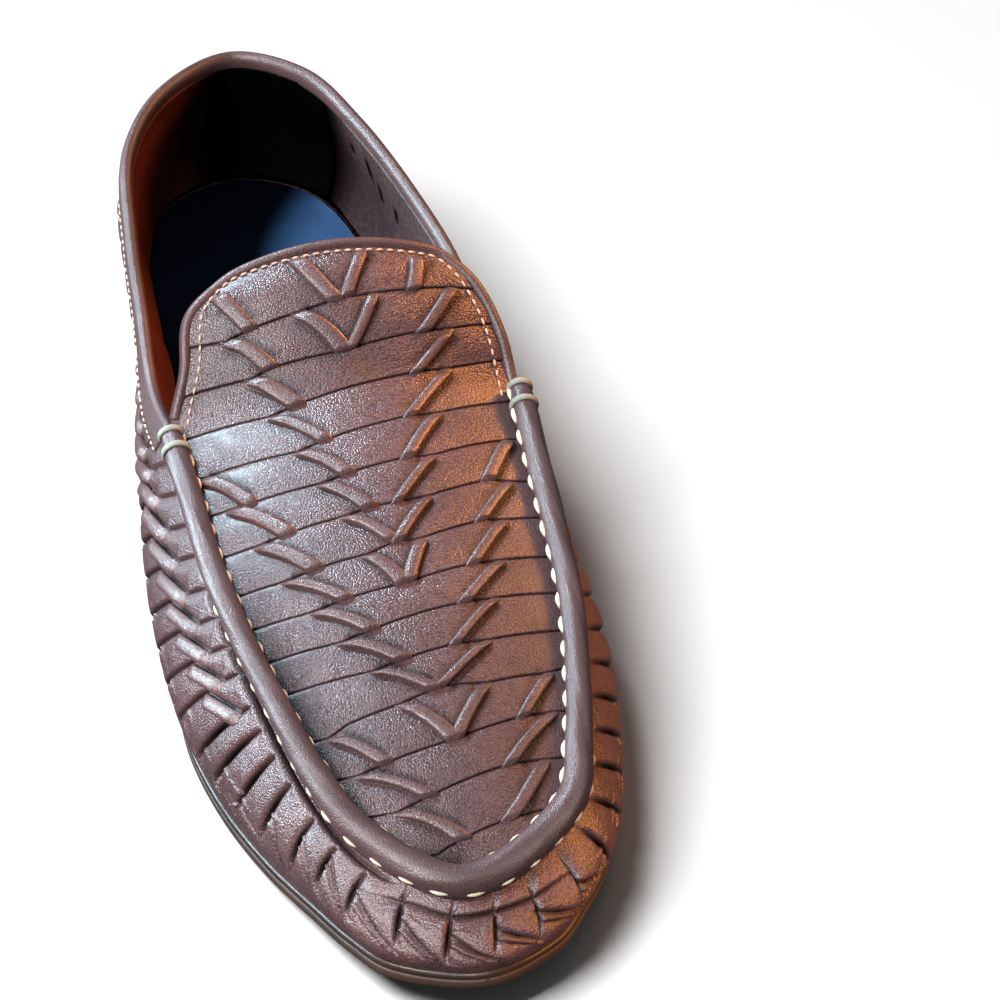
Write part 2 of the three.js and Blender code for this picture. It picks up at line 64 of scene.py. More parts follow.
# Pace and weight of each wave in a slow drift.
DRIFT = ((1.0, 1.0), (1.7, 0.6), (2.9, 0.4))


class Quarter(Enum):
    """The four runs of the side wall, counted from the heel back."""

    LATERAL_REAR = 0
    LATERAL_FRONT = 1
    MEDIAL_FRONT = 2
    MEDIAL_REAR = 3


# Places around the shoe are counted in quarters, so the toe tip is half a round from the heel back.
ROUND = float(len(Quarter))
TOE = ROUND / 2.0


class Slot(Enum):
    """The material slots of the record."""

    WOVEN = "woven_leather"
    ROLL = "roll_leather"
    BINDING = "binding_leather"
    SOLE = "sole_leather"
    EDGE = "sole_edge"
    HEEL = "heel_stack"


def smooth(value: Array | float) -> Array:
    """Ease a share between 0 and 1 with level ends."""
    share = np.clip(value, 0.0, 1.0)
    return share * share * (3.0 - 2.0 * share)


def ramp(value: Array | float, fade: Row) -> Array:
    """Ease from 0 to 1, from the start of a fade over its span; a negative span runs downward."""
    return smooth((value - fade[0]) / fade[1])


def unit(vectors: Array) -> Array:
    """Scale vectors to length one."""
    return vectors / np.maximum(np.linalg.norm(vectors, axis=-1, keepdims=True), TINY)


def wander(place: Array, wave: float, seed: int) -> Array:
    """Give a slow, repeatable drift between -1 and 1.

    Args:
        place: Distances in millimetres.
        wave: Main wavelength.
        seed: Picks the phases.

    Returns:
        One value for each place.
    """
    phases = np.random.default_rng(seed).uniform(0.0, 2.0 * math.pi, len(DRIFT))
    turns = 2.0 * math.pi * np.asarray(place) / wave
    waves = [weight * np.sin(pace * turns + phase) for (pace, weight), phase in zip(DRIFT, phases)]
    return sum(waves) / sum(weight for _, weight in DRIFT)


def spline(points: list[Array], closed: bool = False, steps: int = 24) -> Array:
    """Run a centripetal spline through points.

    Args:
        points: Places that the spline passes through.
        closed: Whether the last point leads back to the first.
        steps: Points made for each span.

    Returns:
        The points of the polyline.
    """
    count = len(points)
    made = []
    for index in range(count if closed else count - 1):
        start, end = points[index], points[(index + 1) % count]
        before = points[index - 1] if closed or index > 0 else 2 * start - end
        after = points[(index + 2) % count] if closed or index + 2 < count else 2 * end - start
        gaps = [np.sqrt(np.linalg.norm(pair)) for pair in (start - before, end - start, after - end)]
        leave = ((start - before) / gaps[0] - (end - before) / (gaps[0] + gaps[1])
                 + (end - start) / gaps[1]) * gaps[1]
        arrive = ((end - start) / gaps[1] - (after - start) / (gaps[1] + gaps[2])
                  + (after - end) / gaps[2]) * gaps[1]
        for part in np.arange(steps) / steps:
            made.append(start + leave * part
                        + (3 * (end - start) - 2 * leave - arrive) * part ** 2
                        + (2 * (start - end) + leave + arrive) * part ** 3)
    made.append(points[0] if closed else points[-1])
    return np.array(made)


def between(rows: Rows, column: int, along: Array) -> Array:
    """Read one column of a table between its rows, with slopes from the neighbours.

    Args:
        rows: The table, ordered by its first column.
        column: Which column.
        along: Places in the first column.

    Returns:
        One value for each place.
    """
    table = np.array(rows)
    knots, values = table[:, 0], table[:, column]
    spot = np.clip(along, knots[0], knots[-1])
    low = np.clip(np.searchsorted(knots, spot) - 1, 0, len(knots) - 2)
    order = np.arange(len(knots))
    before, after = np.maximum(order - 1, 0), np.minimum(order + 1, len(knots) - 1)
    slope = (values[after] - values[before]) / (knots[after] - knots[before])
    width = knots[low + 1] - knots[low]
    t = (spot - knots[low]) / width
    return ((2 * t ** 3 - 3 * t ** 2 + 1) * values[low] + (3 * t ** 2 - 2 * t ** 3) * values[low + 1]
            + (t ** 3 - 2 * t ** 2 + t) * width * slope[low]
            + (t ** 3 - t ** 2) * width * slope[low + 1])


class Track:
    """A polyline that is read by its share of the whole length."""

    def __init__(self, points: Array) -> None:
        """Measure the polyline.

        Args:
            points: Its points, in millimetres.
        """
        self.points = np.asarray(points, float)
        steps = np.linalg.norm(np.diff(self.points, axis=0), axis=1)
        self.reach = np.concatenate([[0.0], np.cumsum(steps)])
        self.length = float(self.reach[-1])

    def at(self, share: Array | float) -> Array:
        """Give the point at a share of the length."""
        distance = np.clip(share, 0.0, 1.0) * self.length
        return np.stack([np.interp(distance, self.reach, self.points[:, k]) for k in range(3)], -1)


@dataclass
class Last:
    """The form of the foot in millimetres, with the same sections as the solids.

    Along counts from the heel back to the toe tip in sole lengths, half widths are shares of the
    ball width and heights are shares of the instep height.
    """

    sole_length: float = 292.0
    ball_width: float = 104.0
    instep_height: float = 87.0
    heel_height: float = 14.0
    toe_spring: float = 9.5
    leather: float = 1.8
    outsole: float = 2.9
    welt: float = 1.8
    gap: float = 0.3
    arch: Row = (0.25, 0.61)
    spring: Row = (0.72, 1.5)
    feather: float = 2.0
    roll_drop: float = 2.0
    apron_drop: float = 1.3
    apron_inset: float = -0.3
    apron_bend: float = 0.0055
    tongue_bow: float = 2.5
    tongue_lift: float = 1.0
    handles: Row = (0.36, 0.33)
    corner_row: int = 6
    # Rows of along, lateral and medial.
    outline_rows: Rows = (
        (.015, .135, .135), (.05, .231, .231), (.12, .293, .293), (.22, .313, .303), (.32, .322, .288),
        (.42, .356, .284), (.5, .399, .303), (.58, .442, .356), (.66, .458, .413), (.74, .427, .436),
        (.82, .367, .412), (.88, .304, .356), (.93, .249, .273), (.97, .183, .187))
    # Side, along and height.
    outline_tip: Row = (0.008, 1.0, 0.0)
    # Rows of along, lateral, medial and height.
    seam_rows: Rows = (
        (.49, .399, .404, .663), (.56, .39, .396, .625), (.63, .382, .39, .583), (.7, .357, .382, .537),
        (.77, .318, .354, .49), (.84, .272, .312, .44), (.9, .202, .252, .391))
    seam_tip: Row = (-0.015, 0.957, 0.354)
    tongue_rows: Rows = ((.45, .352, .396, .738), (.416, .322, .354, .83), (.39, .212, .281, .888))
    collar_rows: Rows = (
        (.42, .405, .372, .624), (.32, .383, .38, .64), (.22, .357, .337, .655), (.12, .308, .258, .688),
        (.05, .186, .168, .706))
    collar_back: Row = (0.006, 0.008, 0.694)
    # Rows of along, lateral low, medial low, lateral high and medial high.
    bulge_rows: Rows = (
        (0, .058, .058, .019, .019), (.3, .058, .062, .005, .014), (.5, .144, .087, .063, .048),
        (.66, .106, .125, .063, .096), (.8, .089, .079, .072, .072), (.92, .085, .076, .077, .077),
        (1, .058, .058, .087, .087))
    spans: int = 24
    middle_points: int = 801
    # Steps that directions are measured over.
    step: float = 0.002
    wall_step: float = 0.008
    apron_step: float = 0.01

    def __post_init__(self) -> None:
        """Work out the outline, the seam, the collar and the apron's edges."""
        lateral = [self.place(-row[1], row[0]) for row in self.outline_rows]
        medial = [self.place(row[2], row[0]) for row in self.outline_rows]
        loop = [self.place(0.0, 0.0), *lateral, self.place(*self.outline_tip), *medial[::-1]]
        self.outline = Track(spline(loop, True, self.spans))
        count = len(lateral)
        marks = (self.corner_row + 1, count + 1, 2 * count + 1 - self.corner_row)
        shares = [self.outline.reach[mark * self.spans] / self.outline.length for mark in marks]
        self.quarters = np.array([0.0, *shares, 1.0])
        self.tip_share = shares[1]
        self._lay_tops()
        self._lay_apron()
        low, high = (np.array(corner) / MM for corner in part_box("outsole"))
        points = self.outline.points
        self.shift = (low + high - points.min(0) - points.max(0)) / 2.0 * (1.0, 1.0, 0.0)

    def place(self, side: float, along: float, height: float = 0.0) -> Array:
        """Turn shares into a point in millimetres."""
        return np.array([side * self.ball_width, (0.5 - along) * self.sole_length,
                         height * self.instep_height])

    def _both(self, rows: Rows) -> tuple[list[Array], list[Array]]:
        """Give the lateral and the medial points of a table with heights."""
        return ([self.place(-row[1], row[0], row[3]) for row in rows],
                [self.place(row[2], row[0], row[3]) for row in rows])

    def _lay_tops(self) -> None:
        """Lay the seam and the collar, which the side wall ends in."""
        lateral, medial = self._both(self.seam_rows)
        collar_left, collar_right = self._both(self.collar_rows)
        tip, back = self.place(*self.seam_tip), self.place(*self.collar_back)
        drop = UP * self.roll_drop
        seam = spline([*lateral, tip, *medial[::-1]]) - drop
        collar = spline([lateral[0], *collar_left, back, *collar_right[::-1], medial[0]]) - drop
        toe, heel = len(lateral) * self.spans, (len(collar_left) + 1) * self.spans
        self.tops = (Track(collar[:heel + 1][::-1]), Track(seam[:toe + 1]), Track(seam[toe:]),
                     Track(collar[heel:][::-1]))

    def _lay_apron(self) -> None:
        """Lay the apron's edges and measure its middle line."""
        lateral, medial = self._both(self.seam_rows)
        tongue_left, tongue_right = self._both(self.tongue_rows)
        drop = UP * (self.roll_drop + self.apron_drop)
        inset = np.array([self.apron_inset, 0.0, 0.0])
        tip = self.place(*self.seam_tip) - drop
        tip[1] += self.apron_inset
        self.left_edge = Track(spline([tip, *[p - drop + inset for p in lateral[::-1]], *tongue_left]))
        self.right_edge = Track(spline([tip, *[p - drop - inset for p in medial[::-1]], *tongue_right]))
        self.corner = self.left_edge.reach[len(lateral) * self.spans] / self.left_edge.length
        self.middle_shares = np.linspace(0.0, 1.0, self.middle_points)
        self.middle = Track(self.apron(0.0, self.middle_shares))

    def sole_bottom(self, along: Array) -> Array:
        """Height of the sole's underside, with the lift of the heel and the spring of the toe."""
        rise = np.clip((along - self.spring[0]) / (1.0 - self.spring[0]), 0.0, 1.0) ** self.spring[1]
        return (self.heel_height * (1.0 - smooth((along - self.arch[0]) / (self.arch[1] - self.arch[0])))
                + self.toe_spring * rise)

    def sole_top(self, along: Array) -> Array:
        """Height of the welt's upper face."""
        return self.sole_bottom(along) + self.outsole + self.gap + self.welt

    def along(self, points: Array) -> Array:
        """Place along the foot of points in millimetres."""
        return 0.5 - points[..., 1] / self.sole_length

    def outward(self, share: Array) -> Array:
        """Level direction out of the outline."""
        run = self.outline.at((share + self.step) % 1.0) - self.outline.at((share - self.step) % 1.0)
        return unit(np.stack([run[..., 1], -run[..., 0], np.zeros_like(run[..., 0])], -1))

    def rim(self, share: Array, inset: Array | float) -> Array:
        """Point of the outline, moved inward by an inset."""
        return self.outline.at(share) - self.outward(share) * np.asarray(inset)[..., None]

    def wall(self, turn: Array, height: Array | float) -> Array:
        """Outer face of the side wall.

        Args:
            turn: 0 to 4 around the shoe: heel back, lateral corner, toe tip, medial corner.
            height: 0 at the sole to 1 at the seam or the collar.

        Returns:
            Points in millimetres.
        """
        turn, height = np.broadcast_arrays(np.asarray(turn, float) % ROUND, np.asarray(height, float))
        quarter = np.minimum(turn.astype(int), Quarter.MEDIAL_REAR.value)
        part = turn - quarter
        share = self.quarters[quarter] + (self.quarters[quarter + 1] - self.quarters[quarter]) * part
        outward = self.outward(share)
        foot = self.rim(share, self.feather)
        along = self.along(foot)
        foot[..., 2] = self.sole_top(along) + self.gap
        top = np.zeros_like(foot)
        for run in Quarter:
            chosen = quarter == run.value
            top[chosen] = self.tops[run.value].at(part[chosen])
        lateral = quarter < Quarter.MEDIAL_FRONT.value
        low, high = (np.where(lateral, between(self.bulge_rows, first, along),
                              between(self.bulge_rows, first + 1, along)) * self.ball_width
                     for first in (1, 3))
        rise = (top[..., 2] - foot[..., 2])[..., None] * UP
        second = foot + outward * low[..., None] + rise * self.handles[0]
        third = top + outward * high[..., None] - rise * self.handles[1]
        h = height[..., None]
        return ((1 - h) ** 3 * foot + 3 * (1 - h) ** 2 * h * second + 3 * (1 - h) * h * h * third
                + h ** 3 * top)

    def wall_normal(self, turn: Array, height: Array | float) -> Array:
        """Outward direction of the side wall.

        Args:
            turn: Places around the shoe.
            height: Places up the wall.

        Returns:
            Directions of length one.
        """
        step = self.wall_step
        forward = self.wall(turn + step, height) - self.wall(turn - step, height)
        upward = (self.wall(turn, np.minimum(height + step, 1.0))
                  - self.wall(turn, np.maximum(height - step, 0.0)))
        return unit(np.cross(forward, upward))

    def wall_skin(self, turn: Array, height: Array | float, offset: Array | float) -> Array:
        """Point off the side wall by an offset in millimetres."""
        turn, height = np.broadcast_arrays(turn, height)
        return self.wall(turn, height) + self.wall_normal(turn, height) * np.asarray(offset)[..., None]

    def half_width(self, share: Array) -> Array:
        """Half the apron's width at a share of its edges."""
        return np.linalg.norm(self.left_edge.at(share) - self.right_edge.at(share), axis=-1) / 2.0

    def apron(self, across: Array | float, share: Array) -> Array:
        """Crowned face of the apron and its tongue.

        Args:
            across: -1 at the lateral edge to 1 at the medial edge.
            share: 0 at the toe to 1 at the top of the tongue.

        Returns:
            Points in millimetres.
        """
        across, share = np.broadcast_arrays(np.asarray(across, float), np.asarray(share, float))
        left, right = self.left_edge.at(share), self.right_edge.at(share)
        half = np.linalg.norm(left - right, axis=-1) / 2.0
        crown = 1.0 - across * across
        tongue = np.clip((share - self.corner) / (1.0 - self.corner), 0.0, 1.0) ** 2
        point = left + (right - left) * ((across + 1.0) / 2.0)[..., None]
        point[..., 1] += self.tongue_bow * tongue * crown
        point[..., 2] += (self.apron_bend * half * half + self.tongue_lift * tongue) * crown
        return point

    def apron_normal(self, across: Array, share: Array) -> Array:
        """Upward direction of the apron.

        Args:
            across: Places across it.
            share: Places along its edges.

        Returns:
            Directions of length one.
        """
        step = self.apron_step
        inner = np.clip(share, 2 * step, 1.0 - step)
        sideways = self.apron(across + step, inner) - self.apron(across - step, inner)
        lengthways = self.apron(across, inner + step) - self.apron(across, inner - step)
        return unit(np.cross(sideways, lengthways))

    def apron_skin(self, across: Array, share: Array, offset: Array | float) -> Array:
        """Point off the apron by an offset in millimetres."""
        across, share = np.broadcast_arrays(across, share)
        return self.apron(across, share) + self.apron_normal(across, share) * np.asarray(offset)[..., None]

    def share_of(self, reach: Array) -> Array:
        """Share of the edges at a reach along the apron's middle, 0 at the toe to 1."""
        return np.interp(np.asarray(reach) * self.middle.length, self.middle.reach, self.middle_shares)

    def to_row(self, points: Array) -> Array:
        """Move points from the last's frame to the row's, in metres."""
        return (points + self.shift) * MM


def grid_faces(rows: int, columns: int, wrap_rows: bool = False, wrap_columns: bool = False) -> Array:
    """Index the four-sided faces of a grid of points.

    Args:
        rows: Number of rows of points.
        columns: Number of points in each row.
        wrap_rows: Whether the last row joins the first.
        wrap_columns: Whether the last column joins the first.

    Returns:
        One row of four indices for each face.
    """
    row = np.arange(rows if wrap_rows else rows - 1)[:, None]
    column = np.arange(columns if wrap_columns else columns - 1)[None, :]
    up, right = (row + 1) % rows, (column + 1) % columns
    corners = (row * columns + column, row * columns + right, up * columns + right, up * columns + column)
    return np.stack([corner.ravel() for corner in corners], -1)


def ladder_faces(first: Array, second: Array) -> Array:
    """Index the faces between two runs of points of equal length."""
    return np.stack([first[:-1], first[1:], second[1:], second[:-1]], -1)


def tube(rings: Array, turned: bool = False) -> Shape:
    """Close a tube of rings by a ladder of faces at both ends.

    Args:
        rings: Points of each ring.
        turned: Whether the rings run the other way around.

    Returns:
        Points and faces.
    """
    count, size = rings.shape[:2]
    half = size // 2
    low, high = np.arange(half), np.arange(size - 1, size - 1 - half, -1)
    start = ladder_faces(high, low)
    end = ladder_faces(low, high) + (count - 1) * size
    faces = np.concatenate([grid_faces(count, size, wrap_columns=True), start, end])
    return rings.reshape(-1, 3), faces[:, ::-1] if turned else faces


def join_shapes(shapes: list[Shape]) -> Shape:
    """Put several shapes into one."""
    starts = np.cumsum([0, *[len(points) for points, _ in shapes]])
    return (np.concatenate([points for points, _ in shapes]),
            np.concatenate([faces + start for (_, faces), start in zip(shapes, starts)]))


def face_out(shape: Shape) -> Shape:
    """Turn the faces of a closed shape outward.

    Args:
        shape: Its points and faces.

    Returns:
        The same points, and faces whose volume is positive.
    """
    points, faces = shape
    a, b, c, d = (points[faces[:, k]] for k in range(4))
    volume = np.einsum("ij,ij->", a, np.cross(b, c)) + np.einsum("ij,ij->", a, np.cross(c, d))
    return points, faces if volume > 0 else faces[:, ::-1]


def sweep(path: Array, lift: Array, radius: float, sides: int, flat: float = 1.0) -> Shape:
    """Run a round or flattened section along a path.

    Args:
        path: Points of the middle line.
        lift: Its upward direction at each point.
        radius: Half its width.
        sides: Corners of the section.
        flat: Height as a share of the width.

    Returns:
        Points and faces of the closed tube.
    """
    run = unit(np.gradient(path, axis=0))
    cross = unit(np.cross(run, lift))
    rise = np.cross(cross, run)
    angles = 2.0 * math.pi * np.arange(sides) / sides
    points = (path[:, None] + radius * np.cos(angles)[None, :, None] * cross[:, None]
              + flat * radius * np.sin(angles)[None, :, None] * rise[:, None])
    return tube(points, True)


def put(name: str, data: ID) -> Object:
    """Put an object with its data into the scene."""
    made = bpy.data.objects.new(name, data)
    bpy.context.scene.collection.objects.link(made)
    return made


def to_linear(code: str) -> Row:
    """Turn a hex sRGB colour into a linear one with alpha."""
    parts = [int(code[index:index + 2], 16) / 255.0 for index in (1, 3, 5)]
    return (*[p / 12.92 if p <= 0.04045 else ((p + 0.055) / 1.055) ** 2.4 for p in parts], 1.0)


def add_node(tree: NodeTree, kind: str, links: dict | None = None, **settings: object) -> Node:
    """Add a node with its settings and links.

    Args:
        tree: Node tree to add to.
        kind: Blender's name of the node type.
        links: Input index or name to an output socket, or to a fixed value.
        **settings: Properties of the node.

    Returns:
        The new node.
    """
    node = tree.nodes.new(kind)
    for name, value in settings.items():
        setattr(node, name, value)
    for key, value in (links or {}).items():
        socket = node.inputs[key]
        if isinstance(value, NodeSocket):
            tree.links.new(value, socket)
        else:
            socket.default_value = value
    return node


def start_material(name: str) -> tuple[Material, Adder, NodeSocket]:
    """Start a material.

    Args:
        name: Name of the real material.

    Returns:
        The material, what adds a node to it, and the place of each point on the object.
    """
    material = bpy.data.materials.new(name)
    material.use_nodes = True
    material.node_tree.nodes.clear()
    add = partial(add_node, material.node_tree)
    return material, add, add("ShaderNodeTexCoord").outputs["Object"]


def mix_colors(add: Adder, share: NodeSocket, first: NodeSocket | Row, second: Row) -> NodeSocket:
    """Mix two colours by a share of the second one."""
    return add("ShaderNodeMix", {0: share, 6: first, 7: second}, data_type="RGBA").outputs[2]


@dataclass(frozen=True)
class Grain:
    """Pebbles, pores and folds in a leather's face, with sizes in millimetres."""

    pebble: float = 1.1
    depth: float = 0.16
    crease: float = 7.0
    pores: float = 0.0
    pores_per_pebble: float = 2.6
    # Pebbles, pores and folds as shares of the depth.
    relief: Row = (-1.3, 0.3, 0.8)


@dataclass(frozen=True)
class LeatherFinish:
    """Dyed and waxed leather: a satin face over a pebbled grain, with painted shade and soil mixed in by the
    cut attribute.
    """

    name: str
    color: str
    shade: str
    # Colour of the pores, and of the painted shade and soil that the cut attribute mixes in.
    cut: str
    roughness: float = 0.42
    coat: float = 0.12
    grain: Grain = Grain()
    patch: float = 16.0
    specular: float = 0.5
    # Specular level where the cut attribute paints shade, so the painted shade holds no reflection.
    shaded_specular: float = 0.02
    # Places of shade and colour in the dye's clouds, and what they add to roughness.
    tones: Row = (0.32, 0.66)
    gloss: Row = (0.07, -0.05)

    def make(self) -> Material:
        """Build the leather's node tree.

        Returns:
            The material.
        """
        material, add, spot = start_material(self.name)
        grain = self.grain
        cloud = add("ShaderNodeTexNoise", {
            "Vector": spot, "Scale": 1.0 / (self.patch * MM), "Detail": 4.0,
            "Roughness": 0.6}).outputs["Fac"]
        tone = add("ShaderNodeValToRGB", {"Fac": cloud})
        for mark, place, code in zip(tone.color_ramp.elements, self.tones, (self.shade, self.color)):
            mark.position, mark.color = place, to_linear(code)
        pebbles = add("ShaderNodeTexVoronoi", {
            "Vector": spot, "Scale": 1.0 / (grain.pebble * MM), "Randomness": 1.0}).outputs["Distance"]
        pores = add("ShaderNodeTexNoise", {
            "Vector": spot, "Scale": grain.pores_per_pebble / (grain.pebble * MM), "Detail": 3.0})
        folds = add("ShaderNodeTexNoise", {
            "Vector": spot, "Scale": 1.0 / (grain.crease * MM), "Detail": 5.0,
            "Roughness": 0.7, "Distortion": 0.6})
        wells = add("ShaderNodeMapRange", {
            "Value": pebbles, "From Min": 0.3, "From Max": 0.8, "To Min": 0.0, "To Max": grain.pores})
        grained = mix_colors(add, wells.outputs[0], tone.outputs["Color"], to_linear(self.cut))
        # The cut attribute carries painted shade in the weave's cuts, under the roll, beside the thongs and
        # inside the heel, and soil at the toe; it darkens the colour and lowers the specular.
        shade_and_soil = add("ShaderNodeAttribute", attribute_name="cut").outputs["Fac"]
        dark = mix_colors(add, shade_and_soil, grained, to_linear(self.cut))
        height = add("ShaderNodeMath", {0: pebbles, 1: grain.relief[0]}, operation="MULTIPLY")
        for layer, weight in zip((pores, folds), grain.relief[1:]):
            height = add("ShaderNodeMath", {
                0: layer.outputs["Fac"], 1: weight, 2: height.outputs[0]}, operation="MULTIPLY_ADD")
        bump = add("ShaderNodeBump", {
            "Strength": 0.9, "Distance": grain.depth * MM, "Height": height.outputs[0]})
        gloss = add("ShaderNodeMapRange", {
            "Value": cloud, "From Min": 0.3, "From Max": 0.7,
            "To Min": self.roughness + self.gloss[0], "To Max": self.roughness + self.gloss[1]})
        shine = add("ShaderNodeMix", {0: shade_and_soil, 2: self.specular, 3: self.shaded_specular})
        shader = add("ShaderNodeBsdfPrincipled", {
            "Base Color": dark, "Roughness": gloss.outputs[0], "IOR": 1.5,
            "Specular IOR Level": shine.outputs[0], "Coat Weight": self.coat, "Coat Roughness": 0.28,
            "Normal": bump.outputs[0]})
        add("ShaderNodeOutputMaterial", {"Surface": shader.outputs[0]})
        return material


@dataclass(frozen=True)
class ThreadFinish:
    """Waxed sewing thread: pale, with the fine ridges of its twist."""

    name: str
    color: str
    shade: str
    twist: float = 0.45
    soil: float = 9.0
    depth: float = 0.1

    def make(self) -> Material:
        """Build the thread's node tree.

        Returns:
            The material.
        """
        material, add, spot = start_material(self.name)
        ridges = add("ShaderNodeTexWave", {
            "Vector": spot, "Scale": 0.16 / (self.twist * MM), "Distortion": 1.5, "Detail": 1.0},
            bands_direction="DIAGONAL")
        soil = add("ShaderNodeTexNoise", {"Vector": spot, "Scale": 1.0 / (self.soil * MM)})
        tone = mix_colors(add, soil.outputs["Fac"], to_linear(self.shade), to_linear(self.color))
        bump = add("ShaderNodeBump", {
            "Strength": 0.5, "Distance": self.depth * MM, "Height": ridges.outputs["Fac"]})
        shader = add("ShaderNodeBsdfPrincipled", {
            "Base Color": tone, "Roughness": 0.62, "Normal": bump.outputs[0]})
        add("ShaderNodeOutputMaterial", {"Surface": shader.outputs[0]})
        return material


class Finish(Enum):
    """The real materials of the shoe."""

    # Calf leather, aniline dyed and waxed: satin, a mauve brown that pales where it is lit.
    CALF = LeatherFinish("woven_calf_leather", "#5e4446", "#4c3537", "#0a0606", 0.3, 0.15,
                         Grain(0.5, 0.13, 7.0, 0.5))
    # The laced thongs of the same calf in a paler copy: a painted highlight for the light on their raised
    # faces.
    THONG_CALF = LeatherFinish("laced_calf_thongs", "#654a4a", "#513a3a", "#0a0606", 0.3, 0.15,
                               Grain(0.42, 0.09, 5.0, 0.4))
    # The same calf around the sides in a darker, less glossy copy: painted shade that offsets the pale
    # reflections on the sides.
    WALL_CALF = LeatherFinish("side_calf_leather", "#5a4142", "#493334", "#090606", 0.32, 0.1,
                              Grain(0.5, 0.14, 7.0, 0.5), specular=0.45)
    # The same calf stretched over a seam or turned over an edge: the grain is pulled flat.
    ROLLED_CALF = LeatherFinish("rolled_calf_leather", "#594040", "#493333", "#090606", 0.4, 0.04,
                                Grain(0.42, 0.07, 9.0, 0.3))
    # Glove leather facing inside the lateral collar: matt and reddish.
    FACING = LeatherFinish("glove_leather_facing", "#652d20", "#4a2016", "#020202", 0.62, 0.0,
                           Grain(1.4, 0.2, 9.0), specular=0.12)
    # Smooth calf facing inside the medial collar: satin and greyer.
    MEDIAL_FACING = LeatherFinish("calf_facing", "#4c3a38", "#3e2f2e", "#020202", 0.5, 0.0,
                                  Grain(1.1, 0.12, 9.0, 0.4), specular=0.3)
    # Black lining inside the vamp: brushed cotton drill, almost without gloss.
    LINING = LeatherFinish("black_drill_lining", "#050404", "#030303", "#020202", 0.98, 0.0,
                           Grain(0.6, 0.05, 8.0), specular=0.08)
    # Blue sheepskin sock on the insole: matt and even, with a fine nap.
    SOCK = LeatherFinish("blue_sheepskin_sock", "#1d3554", "#182c47", "#0c1622", 0.8, 0.0,
                         Grain(0.8, 0.06, 12.0), specular=0.15)
    # Vegetable tanned sole leather, stained at its edge: brown, matt and streaked.
    SOLE_BEND = LeatherFinish("sole_bend_leather", "#38271f", "#281b15", "#150e09", 0.6, 0.0,
                              Grain(0.7, 0.06, 10.0), specular=0.35)
    # The sole's trimmed edge, stained and burnished with hot wax: dark and glossy.
    WAXED_EDGE = LeatherFinish("waxed_sole_edge", "#2f2019", "#201511", "#0a0908", 0.42, 0.05,
                               Grain(0.9, 0.04, 9.0), specular=0.4)
    # Cream linen thread, waxed, in the hand sewn seam.
    SEAM_THREAD = ThreadFinish("waxed_linen_thread", "#d6cdb8", "#ab9d86")
    # The same linen in the bars at the throat, handled and greyer.
    BAR_THREAD = ThreadFinish("handled_linen_thread", "#8b8d80", "#6f7165", 0.6)
    # Finer polyester thread in the machine stitched edges, a little pink beside the brown.
    EDGE_THREAD = ThreadFinish("edge_stitch_thread", "#d9b6a0", "#a98876", 0.3)


@dataclass
class Piece:
    """One visible piece and how it joins the frame."""

    last: Last
    materials: dict[Finish, Material]

    def publish(self, name: str, shape: Shape, finish: Finish, slot: Slot,
                nodes: tuple[str, ...] = (), cut: Array | None = None) -> Object:
        """Make a mesh object of a shape and tie it to the frame.

        Args:
            name: Name of the piece.
            shape: Points and faces.
            finish: What it is made of.
            slot: Material slot of the record.
            nodes: Solids that the piece stands for.
            cut: Darkness at each point: painted shade, and soil at the toe of the wall.

        Returns:
            The object.
        """
        points, faces = shape
        mesh = bpy.data.meshes.new(name)
        mesh.from_pydata(self.last.to_row(points).tolist(), [], faces.tolist())
        mesh.validate()
        mesh.polygons.foreach_set("use_smooth", np.ones(len(mesh.polygons), bool))
        if cut is not None:
            mesh.attributes.new("cut", "FLOAT", "POINT").data.foreach_set(
                "value", np.clip(cut, 0.0, 1.0).astype(np.float32))
        mesh.materials.append(self.materials[finish])
        mesh.update()
        made = put(name, mesh)
        return self.tie(made, slot, nodes)

    def tie(self, made: Object, slot: Slot, nodes: tuple[str, ...] = ()) -> Object:
        """Ride an object on the body and hide the solids it stands for.

        Args:
            made: The object.
            slot: Material slot of the record; not used.
            nodes: Solids that it stands for.

        Returns:
            The same object.
        """
        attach(made, BODY)
        if nodes:
            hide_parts(*nodes)
        LOG.info("%s: %d faces", made.name, len(made.data.polygons))
        return made


